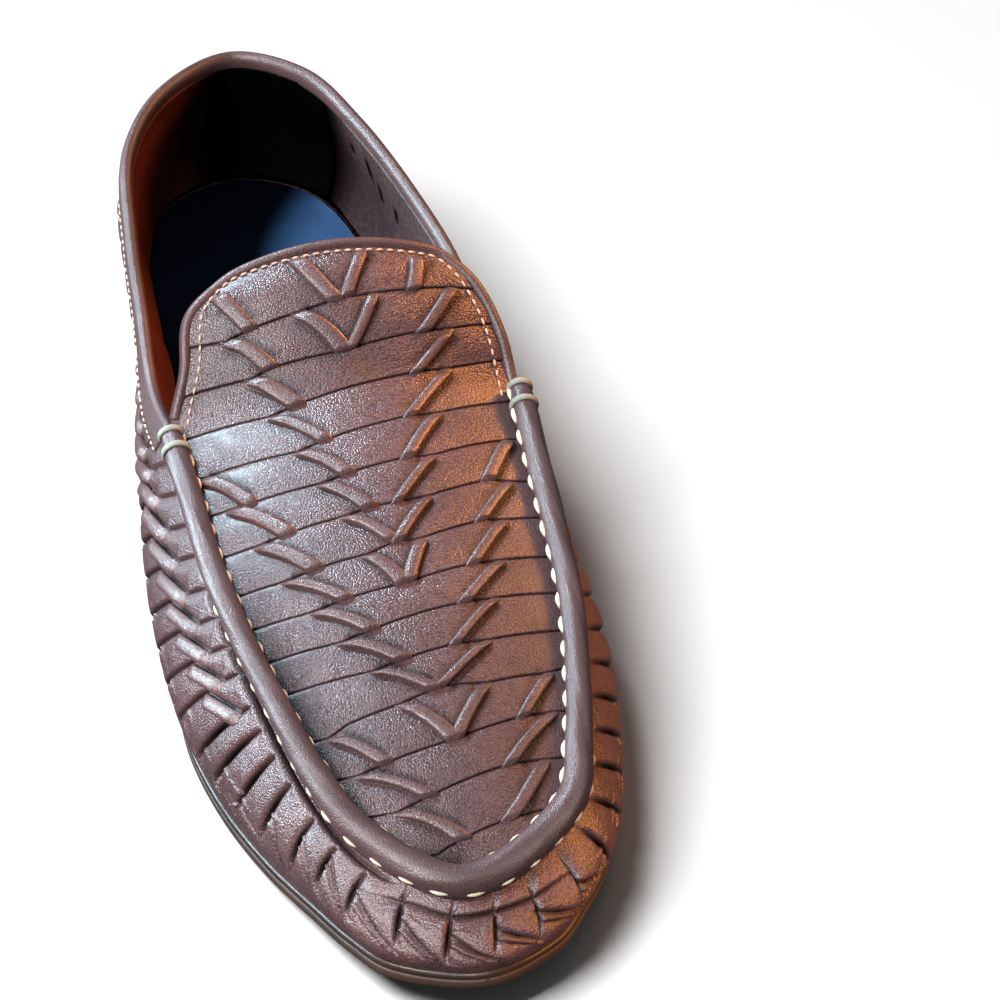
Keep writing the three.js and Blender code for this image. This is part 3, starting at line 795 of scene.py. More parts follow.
@dataclass
class WovenApron(Piece):
    """The crowned apron: bands laid over one another, and thongs laced across them.

    Each row of the chart is one cut across the apron as pairs of across and reach, from the
    lateral edge to the medial edge. A thong runs down from one cut to the next.
    """

    columns: int = 190
    margin: float = 0.93
    lip: float = 0.34
    crown: float = 0.22
    # Rows below a cut: distance from it, height and darkness, the darkness being painted shade in the slit
    # under the lip above.
    below_cut: Rows = ((0, -.5, 1), (.09, -.35, .7), (.2, -.06, .12))
    # Rows above the next cut: distance from it, height as a share of the lip, and darkness, a painted shade
    # just above the slit.
    above_cut: Rows = ((.4, .95, 0), (.2, .78, 0), (.07, .2, .3))
    face_rows: int = 10
    face_ends: Row = (0.45, 0.75)
    face_rise: Row = (0.02, 0.85)
    # Bands narrower than these have closer rows and a lower crown.
    wide_rows: float = 7.0
    wide_crown: float = 9.0
    closest: float = 0.1
    narrowest: float = 0.004
    # Last cut and last row at the toe, and fades of the relief at both ends.
    toe_cut: float = 0.004
    toe_row: float = 0.003
    end_fades: Rows = ((.03, .04), (1, -.02))
    # Slow waves in the bands: height, wavelengths and slants.
    wave_height: float = 0.16
    wave_lengths: Row = (19.0, 31.0)
    wave_slant: Row = (34.0, 60.0)
    # Painted shadow of the roll along the lateral edge and ahead at the toe: its strength (crease), with its
    # fades across and along.
    crease: float = 0.9
    roll_shadow_beside: Rows = ((-.62, -.28), (.62, -.3))
    roll_shadow_ahead: Rows = ((.3, -.5), (.1, -.07))
    valley: float = 0.2
    valley_width: float = 2.4
    valley_fades: Rows = ((0, .1), (1, -.1))
    # Painted shade along both edges of each thong: strengths on the two sides, width, and place as a share of
    # the thong's half width.
    thong_shade: Row = (0.75, 0.4)
    thong_shade_width: float = 0.95
    thong_shade_place: float = 0.95
    chart: tuple[Rows, ...] = (
        ((-1, .902), (-.72, .888), (-.565, .894), (-.261, .901), (0, .911), (.234, .917), (.5, .925),
         (.772, .936), (1, .942)),
        ((-1, .836), (-.543, .826), (-.438, .834), (-.005, .841), (.031, .843), (.479, .866),
         (.648, .873), (1, .896)),
        ((-1, .774), (-.438, .764), (-.28, .773), (.409, .81), (.597, .819), (1, .848)),
        ((-1, .702), (-.354, .694), (-.184, .705), (.327, .737), (.495, .746), (1, .793)),
        ((-1, .636), (-.68, .632), (-.277, .634), (-.114, .644), (.246, .664), (.391, .668), (.854, .712),
         (1, .724)),
        ((-1, .565), (-.707, .562), (-.529, .567), (-.2, .575), (-.044, .584), (.122, .59), (.305, .598),
         (.68, .634), (.809, .637), (1, .648)),
        ((-1, .498), (-.639, .495), (-.447, .502), (-.143, .509), (.035, .524), (.199, .528),
         (.576, .562), (.716, .568), (1, .588)),
        ((-1, .44), (-.542, .438), (-.337, .446), (.02, .458), (.456, .488), (.633, .498), (1, .522)),
        ((-1, .384), (-.456, .383), (-.245, .393), (.351, .426), (.541, .435), (1, .462)),
        ((-1, .328), (-.332, .331), (-.116, .342), (.238, .361), (.455, .368), (1, .402)),
        ((-1, .25), (-.748, .248), (-.6, .261), (-.207, .277), (.029, .294), (.086, .298), (.377, .301),
         (.8, .326), (1, .346)),
        ((-1, .186), (-.689, .184), (-.446, .194), (.095, .218), (.602, .254), (.827, .267), (1, .275)),
        ((-1, .124), (-.519, .122), (-.206, .139), (.468, .182), (.745, .193), (1, .205)),
        ((-1, .05), (-.3, .06), (.052, .077), (.491, .104), (1, .135)))
    # Upper end, then lower end, of each thong: across and reach.
    thongs: Rows = (
        (-.313, .984, -.014, .91), (-.261, .901, -.005, .841), (.234, .917, .031, .843),
        (.25, .985, .06, .915), (.66, .98, .5, .925), (-.829, .961, -.565, .894), (-.718, .888, -.438, .834),
        (-.543, .826, -.28, .773), (-.438, .764, -.184, .705), (-.354, .694, -.114, .644),
        (-.277, .634, -.044, .584), (-.2, .575, .03, .528), (-.143, .509, .013, .458),
        (.772, .936, .479, .866), (.648, .873, .409, .81), (.597, .819, .327, .737),
        (.495, .746, .246, .664), (.391, .668, .122, .59), (.305, .598, .06, .526), (.199, .528, .05, .46),
        (-.9, .7, -.68, .632), (-.802, .634, -.529, .567), (-.707, .562, -.447, .502),
        (-.639, .495, -.337, .446), (-.542, .438, -.245, .393), (-.456, .383, -.116, .342),
        (-.332, .331, .029, .294), (-.207, .277, .085, .218), (.87, .714, .68, .634),
        (.809, .637, .576, .562), (.716, .568, .456, .488), (.633, .498, .351, .426),
        (.541, .435, .238, .361), (.455, .368, .086, .298), (.377, .301, .11, .22),
        (-.748, .248, -.446, .194), (-.689, .184, -.206, .139), (-.519, .122, .052, .077),
        (.822, .328, .602, .254), (.827, .267, .468, .182), (.745, .193, .491, .104))
    # Half widths of the thongs that run down medially and laterally.
    thong_reach: Row = (2.1, 1.8)
    thong_vary: Row = (0.1, 2.1)
    thong_height: float = 1.1
    thong_base: float = 0.3
    # Section: shares of the half width and of the height.
    thong_profile: Rows = (
        (-1, -1), (-1, .1), (-.95, .48), (-.82, .78), (-.5, .96), (0, 1), (.5, .98), (.82, .84), (.95, .52),
        (1, .1), (1, -1))
    thong_rows: int = 26
    thong_span: Row = (-0.07, 1.07)
    bow: float = 0.5
    line_slope: float = 0.17
    tuck_fades: Rows = ((-.05, .28), (1.06, -.09))
    tuck_depth: float = 0.5
    skin_left: float = 0.2
    # Limits that keep the thongs on the apron.
    middle_limits: Row = (0.02, 0.992)
    end_limits: Row = (0.01, 0.995)
    side_limits: Row = (-0.97, 0.97)
    least_half: float = 4.0

    def build(self) -> None:
        """Make the bands and the thongs."""
        shape, cut = self._bands()
        self.publish("apron_bands", shape, Finish.CALF, Slot.WOVEN, ("upper",), cut)
        thongs = [self._thong(index, row) for index, row in enumerate(self.thongs)]
        self.publish("apron_thongs", join_shapes(thongs), Finish.THONG_CALF, Slot.WOVEN, ("upper",))

    def _offsets(self, width: Array) -> list[tuple[Array, Array, Array]]:
        """Rows down one band: distance from the cut above, height and darkness.

        Args:
            width: Width of the band at each column, in millimetres.

        Returns:
            One triple for each row.
        """
        near = np.clip(width / self.wide_rows, self.closest, 1.0)
        full = np.clip(width / self.wide_crown, 0.0, 1.0)
        level = np.zeros_like(width)
        rows = [(away * near, level + height, level + dark) for away, height, dark in self.below_cut]
        start, finish = self.face_ends[0] * near, width - self.face_ends[1] * near
        base, rise = self.face_rise
        for part in np.linspace(0.0, 1.0, self.face_rows):
            puff = self.crown * 4.0 * part * (1.0 - part) * full
            lift = base + self.lip * smooth(part) * rise
            rows.append((start + (finish - start) * part, puff + lift, level))
        rows.extend((width - away * near, level + self.lip * height, level + dark)
                    for away, height, dark in self.above_cut)
        return rows

    def _bands(self) -> tuple[Shape, Array]:
        """Lay the bands between the cuts as one closed shell.

        Returns:
            Its points and faces, and the darkness at each point: painted shade in the slits, beside the
            thongs and under the roll.
        """
        last, length = self.last, self.last.middle.length
        across = np.linspace(-1.0, 1.0, self.columns)
        lines = [np.interp(across, *np.array(line).T) for line in self.chart]
        lines = [np.full(self.columns, 1.0), *lines, np.full(self.columns, self.toe_cut)]
        rows = []
        for upper, lower in zip(lines[:-1], lines[1:]):
            width = np.maximum(upper - lower, self.narrowest) * length
            rows.extend((upper - away / length, height, dark) for away, height, dark in self._offsets(width))
        reach, height, dark = (np.array(column) for column in zip(*rows[::-1]))
        reach = np.maximum(reach, self.toe_row)
        fade = 1.0 - smooth((np.abs(across) - self.margin) / (1.0 - self.margin))
        ends = ramp(reach, self.end_fades[0]) * ramp(reach, self.end_fades[1])
        share = last.share_of(reach)
        slant = across * self.wave_slant[0] + reach * self.wave_slant[1]
        waves = (self.wave_height * wander(slant, self.wave_lengths[0], 5)
                 * wander(reach * length, self.wave_lengths[1], 6))
        dips, thong_shade = self._beside_thongs(across, reach, share)
        wide = np.broadcast_to(across, reach.shape)
        outer = last.apron_skin(wide, share, (height + waves + dips) * fade * ends)
        inner = last.apron_skin(wide, share, -last.leather)
        points = np.concatenate([outer, inner[:, ::-1]], axis=1)
        # Painted shadow of the roll, laid over the painted shade of the slits and beside the thongs.
        beside, ahead = (ramp(across, sideways) * ramp(reach, lengthways)
                         for sideways, lengthways in (self.roll_shadow_beside, self.roll_shadow_ahead))
        dark = np.maximum(np.maximum(dark, thong_shade) * fade * ends, self.crease * np.maximum(beside, ahead))
        cut = np.concatenate([dark, np.zeros_like(dark)], axis=1)
        return tube(points), cut.ravel()

    def _beside_thongs(self, across: Array, reach: Array, share: Array) -> tuple[Array, Array]:
        """Soft troughs that the thongs pull into the bands, and painted shade along their edges.

        Args:
            across: Places across the apron.
            reach: Places along it.
            share: The same places as shares of its edges.

        Returns:
            Offsets in millimetres and shares of painted shade.
        """
        length = self.last.middle.length
        x, y = across * self.last.half_width(share), reach * length
        trough, thong_shade = np.zeros_like(reach), np.zeros_like(reach)
        for left, top, right, bottom in self.thongs:
            half = float(self.last.half_width(self.last.share_of((top + bottom) / 2.0)))
            start = np.array([left * half, top * length])
            run = np.array([right * half, bottom * length]) - start
            side = 1.0 if right > left else -1.0
            part = ((x - start[0]) * run[0] + (y - start[1]) * run[1]) / (run @ run)
            inside = ramp(part, self.valley_fades[0]) * ramp(part, self.valley_fades[1])
            bow = self.bow * side * np.sin(math.pi * np.clip(part, 0.0, 1.0))
            beside = ((x - start[0] - bow) * run[1] - (y - start[1] - bow) * run[0]) / np.hypot(*run)
            trough = np.maximum(trough, inside * np.exp(-(beside / self.valley_width) ** 2))
            edge = self.thong_reach[0 if side > 0 else 1] * self.thong_shade_place
            for sign, strength in ((-1.0, self.thong_shade[0]), (1.0, self.thong_shade[1])):
                line = np.exp(-((beside - sign * edge) / self.thong_shade_width) ** 2)
                thong_shade = np.maximum(thong_shade, strength * inside * line)
        return -self.valley * trough, thong_shade

    def _thong(self, index: int, row: Row) -> Shape:
        """Lay one thong over a band, its ends cut along the lines of the weave and tucked under.

        Args:
            index: Number of the thong.
            row: Across and reach of both ends.

        Returns:
            Points and faces.
        """
        last, length = self.last, self.last.middle.length
        left, top, right, bottom = row
        part = np.linspace(*self.thong_span, self.thong_rows)
        reach = np.clip(top + (bottom - top) * part, *self.middle_limits)
        half = last.half_width(last.share_of(reach))
        side = math.copysign(1.0, right - left)
        x = (left + (right - left) * part) * half
        bow = self.bow * np.sin(math.pi * np.clip(part, 0.0, 1.0)) * side
        vary, pace = self.thong_vary
        width = self.thong_reach[0 if side > 0 else 1] * (1.0 + vary * math.sin(pace * index))
        tuck = 2.0 - ramp(part, self.tuck_fades[0]) - ramp(part, self.tuck_fades[1])
        rise = self.thong_base - (self.thong_height + self.tuck_depth) * np.minimum(tuck, 1.0)
        ring = []
        for spot, height in self.thong_profile:
            place_x = x + spot * width + bow
            place_y = reach * length + self.line_slope * spot * width + bow
            wide = np.clip(place_x / np.maximum(half, self.least_half), *self.side_limits)
            share = last.share_of(np.clip(place_y / length, *self.end_limits))
            depth = np.maximum(rise + height * self.thong_height, self.skin_left - last.leather)
            ring.append(last.apron_skin(wide, share, depth))
        return tube(np.stack(ring[::-1], axis=1))


class FlatWall:
    """The side wall laid flat: distances around it and up the leather, in millimetres."""

    def __init__(self, last: Last, samples: int = 1601, levels: int = 13) -> None:
        """Measure the wall around its half height, and up its whole height.

        Args:
            last: The form of the foot.
            samples: Places measured around it.
            levels: Heights measured at each place.
        """
        self.steps = np.linspace(0.0, ROUND, samples)
        self.run = Track(last.wall(self.steps, 0.5)).reach
        rise = np.stack([last.wall(self.steps, height) for height in np.linspace(0.0, 1.0, levels)])
        self.tall = np.linalg.norm(np.diff(rise, axis=0), axis=-1).sum(0)
        self.whole = self.run[-1]

    def around(self, turn: Array) -> Array:
        """Distance around from the heel back."""
        return np.interp(turn % ROUND, self.steps, self.run)

    def up(self, turn: Array, height: Array) -> Array:
        """Distance up from the sole."""
        return height * np.interp(turn % ROUND, self.steps, self.tall)

    def short_way(self, distance: Array) -> Array:
        """The same distance around, taken the shorter way."""
        return (distance + self.whole / 2) % self.whole - self.whole / 2


@dataclass
class WovenWall(Piece):
    """The side wall: kite tiles, leaves below them and thongs along the quarters.

    The main cuts are charted where the picture shows them; the rules carry them on around the shoe.
    A cut is drawn with the higher leather on its left.
    """

    rows: int = 100
    row_ends: Row = (0.008, 0.985)
    # Steps between two main cuts, and shares of the way to the first ones.
    front_steps: int = 20
    front_close: Row = (0.0, 0.015, 0.035, 0.07, 0.11)
    rear_steps: int = 9
    rear_close: Row = (0.0, 0.025, 0.07, 0.2)
    front: Row = (1.0, 2.75)
    back_rows: int = 8
    back_depth: float = 0.85
    level: float = 0.78
    pitch: float = 0.0625
    heel_clear: float = 0.3
    marks: Row = (1.055, 1.121, 1.184, 1.25, 1.309, 1.367, 1.424, 1.49, 1.537, 1.592, 1.65, 1.725,
                  1.785, 1.845, 1.908, 1.976, 2.027, 2.084, 2.149)
    # Turn, lean of the main cut in turns for the whole height, height of its fork and of its foot.
    rules: Rows = (
        (0, 0, .42, .26), (.5, .24, .42, .26), (1, .27, .42, .26), (1.3, .25, .4, .26),
        (1.42, .21, .37, .27), (1.54, .165, .45, .32), (1.65, .12, .55, .39), (1.725, .11, .65, .4),
        (1.785, .1, .72, .48), (1.845, .075, .65, .46), (1.908, .05, .62, .44), (1.976, .05, .61, .36),
        (2.03, .035, .63, .44), (2.085, .01, .61, .35), (2.15, -.03, .58, .31), (2.25, -.14, .55, .32),
        (2.35, -.2, .5, .3), (2.7, -.25, .44, .27), (3, -.27, .42, .26), (3.5, -.24, .42, .26),
        (4, 0, .42, .26))
    crossing: float = 2.2
    # A main cut: where it opens, and its top, width and depth, shut and added when open.
    open_fades: Rows = ((1.4, .12), (2.75, -.2))
    main_top: Row = (0.94, -0.12)
    main_width: Row = (0.32, 0.28)
    main_depth: Row = (0.45, 0.5)
    main_foot: float = 0.04
    line_points: int = 9
    # Curves from the fork of each main cut to the corner of the next kite, as turn and height.
    first_curve: int = 6
    curves: tuple[Rows, ...] = (
        ((1.35, .4), (1.36, .28), (1.39, .2), (1.437, .2)),
        ((1.417, .36), (1.414, .28), (1.424, .222), (1.449, .235)),
        ((1.482, .439), (1.481, .363), (1.487, .27), (1.506, .225)),
        ((1.54, .449), (1.543, .355), (1.558, .295), (1.582, .275)),
        ((1.624, .553), (1.64, .48), (1.645, .352), (1.654, .225)),
        ((1.714, .66), (1.729, .579), (1.736, .453), (1.738, .3)),
        ((1.785, .77), (1.796, .682), (1.806, .524), (1.812, .32)),
        ((1.841, .649), (1.852, .55), (1.865, .418), (1.884, .24)),
        ((1.907, .618), (1.916, .54), (1.931, .36), (1.945, .13)),
        ((1.97, .612), (1.983, .5), (1.997, .37), (2.018, .22)),
        ((2.022, .639), (2.042, .5), (2.075, .29)),
        ((2.081, .606), (2.113, .46), (2.158, .27)))
    curve_drop: float = 0.06
    curve_bend: float = 1.5
    curve_run: float = 0.3
    # The leaf's cut, behind and below a curve, at its start and its end.
    leaf_behind: Row = (0.026, 0.004)
    leaf_below: Row = (0.02, 0.06)
    leaf_floor: float = 0.05
    # Ledge under the roll at the toe, and the gap beside the roll, as turn and height.
    ledge: Rows = (
        (1.885, .74), (1.927, .785), (1.976, .77), (2.027, .775), (2.055, .75), (2.084, .72), (2.117, .71),
        (2.149, .68))
    gap_level: float = 0.9
    gap_line: Rows = (
        (1.885, .868), (1.8, .878), (1.7, .874), (1.6, .884), (1.5, .898), (1.38, .908), (1.28, .925))
    gap_fades: Rows = ((.6, .3), (1, -.08))
    # Width and depth of the other cuts.
    curve_size: Row = (0.42, 0.9)
    leaf_size: Row = (0.36, 0.5)
    slit_size: Row = (0.55, 1.0)
    ledge_size: Row = (0.4, 0.6)
    gap_size: Row = (0.75, 1.5)
    # Straps along both quarters.
    strap_heights: Row = (0.62, 0.775)
    strap_stops: Row = (1.5, 2.75)
    strap_half: float = 1.75
    strap_rise: float = 1.0
    strap_base: float = 0.2
    strap_gap: float = 0.25
    strap_rows: int = 20
    strap_fades: Rows = ((-.03, .15), (1, -.2))
    strap_profile: Rows = (
        (-1, -.4), (-1, .2), (-.93, .62), (-.72, .92), (-.3, 1), (.25, .8), (.7, .5), (.93, .15), (1, -.2),
        (1, -.4))
    cut_reach: float = 22.0
    far: float = 99.0
    taper: Row = (0.35, 0.65, 0.6)
    trench_blur: float = 0.12
    # Painted shade in the cuts: its blur, and the depth at which it is full.
    dark_blur: float = 0.05
    dark_depth: float = 0.7
    # Pillows between the cuts, and the lap of one leather over the next.
    puff: float = 0.85
    puff_width: float = 2.4
    sink: float = 0.25
    lap: Row = (0.75, -0.35)
    lap_width: float = 2.2
    lap_edge: float = 0.3
    # Slow waves in the leather: height, wavelengths and slants.
    wave_height: float = 0.12
    wave_lengths: Row = (17.0, 13.0)
    wave_slant: Row = (0.7, -0.4)
    relief_fades: Rows = ((0, .05), (.96, -.05))
    foot_bulge: float = 0.8
    foot_height: float = 0.09
    soil: float = 0.45
    soil_fade: Row = (0.3, -0.28)
    soil_half: float = 0.4

    def build(self) -> None:
        """Make the woven outer wall and its straps."""
        last = self.last
        column = self._columns()
        level = np.concatenate([[0.0], np.linspace(*self.row_ends, self.rows - 2), [1.0]])
        wide, high = np.meshgrid(column, level)
        wide = self._leaned(wide, high)
        gap_turn, gap_height = np.array(self.gap_line[::-1]).T
        pull = ramp(high, self.gap_fades[0]) * ramp(high, self.gap_fades[1])
        high = high + (np.interp(wide, gap_turn, gap_height) - self.gap_level) * pull
        relief, cut = self._relief(wide, high)
        outer = last.wall_skin(wide, high, relief)
        deep_wide, deep_high = np.meshgrid(column, np.linspace(1.0, 0.0, self.back_rows))
        deep_wide = self._leaned(deep_wide, deep_high)
        inner = last.wall_skin(deep_wide, deep_high, -self.back_depth * last.leather)
        points = np.concatenate([outer, inner])
        faces = grid_faces(len(points), len(column), True, True)
        cut = np.concatenate([cut, np.zeros(deep_high.shape)])
        self.publish("woven_wall", (points.reshape(-1, 3), faces), Finish.WALL_CALF, Slot.WOVEN,
                     ("upper",), cut.ravel())
        self.publish("wall_thongs", join_shapes(self._straps()), Finish.THONG_CALF, Slot.WOVEN, ("upper",))

    def _all_marks(self) -> Array:
        """Places of every main cut at the level height, around the whole shoe.

        Returns:
            The charted ones, carried on at an even pitch.
        """
        before = np.arange(self.marks[0] - self.pitch, 0.0, -self.pitch)[::-1]
        after = np.arange(self.marks[-1] + self.pitch, ROUND - self.heel_clear * self.pitch, self.pitch)
        return np.concatenate([before, self.marks, after])

    def _columns(self) -> Array:
        """Columns around the shoe, closest together beside the main cuts.

        Returns:
            Their places at the level height.
        """
        marks = self._all_marks()
        ends = np.append(marks, marks[0] + ROUND)
        found = []
        for start, end in zip(ends[:-1], ends[1:]):
            close, steps = self.rear_close, self.rear_steps
            if self.front[0] < start < self.front[1]:
                close, steps = self.front_close, self.front_steps
            near, edge = np.array(close[:-1]), close[-1]
            middle = np.linspace(edge, 1.0 - edge, steps - 2 * len(near) + 1)
            found.append(start + (end - start) * np.concatenate([near, middle, 1.0 - near[:0:-1]]))
        return np.concatenate(found)

    def _leaned(self, turn: Array | float, height: Array) -> Array:
        """Place around at a height, leaning with the main cuts from its place at the level height."""
        return turn + between(self.rules, 1, np.asarray(turn) % ROUND) * (height - self.level)

    def _main(self, mark: float, height: Array | float) -> Array:
        """Point of a main cut at a height, as turn and height."""
        height = np.asarray(height, float)
        return np.stack([self._leaned(mark, height), height], -1)

    def _cuts(self) -> list[tuple[Array, float, float]]:
        """Draw every cut of the wall.

        Returns:
            Polylines of turn and height, each with its width and depth in millimetres.
        """
        found = []
        marks = self._all_marks()
        for index, mark in enumerate(marks):
            fork, foot = (float(between(self.rules, column, np.array(mark))) for column in (2, 3))
            wide_open = ramp(mark, self.open_fades[0]) * ramp(mark, self.open_fades[1])
            top, width, depth = (shut + more * wide_open
                                 for shut, more in (self.main_top, self.main_width, self.main_depth))
            lateral = mark < self.crossing
            way = 1 if lateral else -1
            line = self._main(mark, np.linspace(foot - self.main_foot, top, self.line_points))
            found.append((line[::way], width, depth))
            curve = self._curve(mark, fork, marks[(index + way) % len(marks)])
            if len(curve):
                found.append((curve[::way], *self.curve_size))
                found.append((self._leaf(curve, way)[::way], *self.leaf_size))
        for low, high in self._strap_ends():
            edge = np.stack([high, low])
            found.append((edge if low[0] < high[0] else edge[::-1], *self.slit_size))
        found.append((np.array(self.ledge), *self.ledge_size))
        found.append((np.array(self.gap_line), *self.gap_size))
        return found

    def _leaf(self, curve: Array, way: int) -> Array:
        """Draw the leaf's cut that runs beside the later part of a curve.

        Args:
            curve: Points of the curve, as turn and height.
            way: 1 on the lateral side, -1 on the medial side.

        Returns:
            Points of turn and height.
        """
        size = len(curve)
        away = np.stack([np.linspace(*self.leaf_behind, size) * way, np.linspace(*self.leaf_below, size)], -1)
        leaf = (curve - away)[size // 3:]
        leaf[:, 1] = np.maximum(leaf[:, 1], self.leaf_floor)
        return leaf

    def _curve(self, mark: float, fork: float, mate: float) -> Array:
        """The curve from a main cut's fork down to the corner of the next kite.

        Args:
            mark: Place of the main cut.
            fork: Height of its fork.
            mate: Place of the next main cut.

        Returns:
            Points of turn and height, none behind the front of the shoe.
        """
        charted = dict(zip(self.marks[self.first_curve:], self.curves))
        if mark in charted:
            return spline([np.array(point) for point in charted[mark]], steps=4)
        if not self.front[0] < mark < self.front[1]:
            return np.zeros((0, 2))
        foot = float(between(self.rules, 3, np.array(mate)))
        start, end = self._main(mark, fork), self._main(mate, foot - self.curve_drop)
        if abs(end[0] - start[0]) > self.curve_run:
            return np.zeros((0, 2))
        part = np.linspace(0.0, 1.0, self.line_points)[:, None]
        return np.concatenate([start[0] + (end[0] - start[0]) * part ** self.curve_bend,
                               start[1] + (end[1] - start[1]) * part], axis=1)

    def _strap_ends(self) -> list[tuple[Array, Array]]:
        """Find the slit above each strap, on both quarters.

        Returns:
            Its lower and its upper end, as turn and height.
        """
        marks = self._all_marks()
        low, high = self.strap_heights
        found = []
        for rear, front in zip(marks[:-1], marks[1:]):
            if front < self.strap_stops[0]:
                found.append((self._main(rear, low), self._main(front, high)))
            elif rear > self.strap_stops[1]:
                found.append((self._main(front, low), self._main(rear, high)))
        return found

    def _straps(self) -> list[Shape]:
        """Lay the straps of both quarters over the wall, raised along their lower side.

        Returns:
            Points and faces of each strap.
        """
        last, shapes = self.last, []
        part = np.linspace(self.strap_fades[0][0], 1.0, self.strap_rows)
        tuck = 2.0 - ramp(part, self.strap_fades[0]) - ramp(part, self.strap_fades[1])
        tucked = np.minimum(tuck, 1.0)
        for low, high in self._strap_ends():
            line = low + (high - low) * part[:, None]
            path, normal = last.wall(line[:, 0], line[:, 1]), last.wall_normal(line[:, 0], line[:, 1])
            cross = unit(np.cross(normal, np.gradient(path, axis=0)))
            cross *= np.sign(cross[:, 2:])
            path = path - cross * (self.strap_half + self.strap_gap)
            ring = []
            for spot, height in self.strap_profile:
                lift = height * self.strap_rise + self.strap_base - tucked
                ring.append(path + cross * (spot * self.strap_half) + normal * lift[:, None])
            shapes.append(face_out(tube(np.stack(ring, axis=1))))
        return shapes

    def _relief(self, turn: Array, height: Array) -> tuple[Array, Array]:
        """Height of the wall from the distance to the cuts, and darkness: painted shade in the cuts and soil
        at the toe.

        Args:
            turn: Places around the shoe.
            height: Places up the wall.

        Returns:
            Offsets in millimetres and shares of darkness.
        """
        flat = FlatWall(self.last)
        x, y = flat.around(turn), flat.up(turn, height)
        nearest, side, trench, dark = self._near_cuts(flat, x, y)
        pillow = self.puff * (1.0 - np.exp(-nearest / self.puff_width))
        lap = (np.where(side > 0, *self.lap) * np.exp(-nearest / self.lap_width)
               * (1.0 - np.exp(-nearest / self.lap_edge)))
        waves = (self.wave_height * wander(x + self.wave_slant[0] * y, self.wave_lengths[0], 21)
                 * wander(y + self.wave_slant[1] * x, self.wave_lengths[1], 22))
        fade = ramp(height, self.relief_fades[0]) * ramp(height, self.relief_fades[1])
        bulge = self.foot_bulge * np.exp(-(height / self.foot_height) ** 2)
        relief = (pillow + lap - trench - self.sink + waves) * fade + bulge
        soil = self.soil * ramp(height, self.soil_fade) * smooth(1.0 - np.abs(turn - TOE) / self.soil_half)
        return relief, np.maximum(dark * fade, soil)

    def _near_cuts(self, flat: FlatWall, x: Array, y: Array) -> tuple[Array, Array, Array, Array]:
        """Look for the cuts near each place.

        Args:
            flat: The wall laid flat.
            x: Distances around.
            y: Distances up.

        Returns:
            Distance to the nearest cut, side of it, depth of the trench there, and the painted shade in the
            cut.
        """
        nearest, side = np.full(x.shape, self.far), np.zeros(x.shape)
        trench, dark = np.zeros(x.shape), np.zeros(x.shape)
        least, more, power = self.taper
        for cut, width, depth in self._cuts():
            knot_x = flat.around(cut[:, 0])
            knot_x = knot_x[0] + flat.short_way(knot_x - knot_x[0])
            knots = np.stack([knot_x, flat.up(cut[:, 0], cut[:, 1])], -1)
            count = len(knots) - 1
            for index in range(count):
                start, vector = knots[index], knots[index + 1] - knots[index]
                away = flat.short_way(x - start[0])
                near = np.nonzero(np.abs(away) < self.cut_reach + abs(vector[0]))
                dx, dy = away[near], y[near] - start[1]
                part = np.clip((dx * vector[0] + dy * vector[1]) / (vector @ vector), 0.0, 1.0)
                distance = np.hypot(dx - part * vector[0], dy - part * vector[1])
                ahead = np.sign(vector[0] * dy - vector[1] * dx)
                side[near] = np.where(distance < nearest[near], ahead, side[near])
                nearest[near] = np.minimum(nearest[near], distance)
                taper = least + more * np.sin(math.pi * (index + part) / count) ** power
                shape = np.exp(-(distance / (width * taper + self.trench_blur)) ** 2)
                trench[near] = np.maximum(trench[near], depth * taper * shape)
                # Painted shade in the cut, fullest where the trench is deepest.
                shape = np.exp(-(distance / (width * taper + self.dark_blur)) ** 4)
                shade = np.clip(depth / self.dark_depth, 0.0, 1.0) * taper * shape
                dark[near] = np.maximum(dark[near], shade)
        return nearest, side, trench, dark


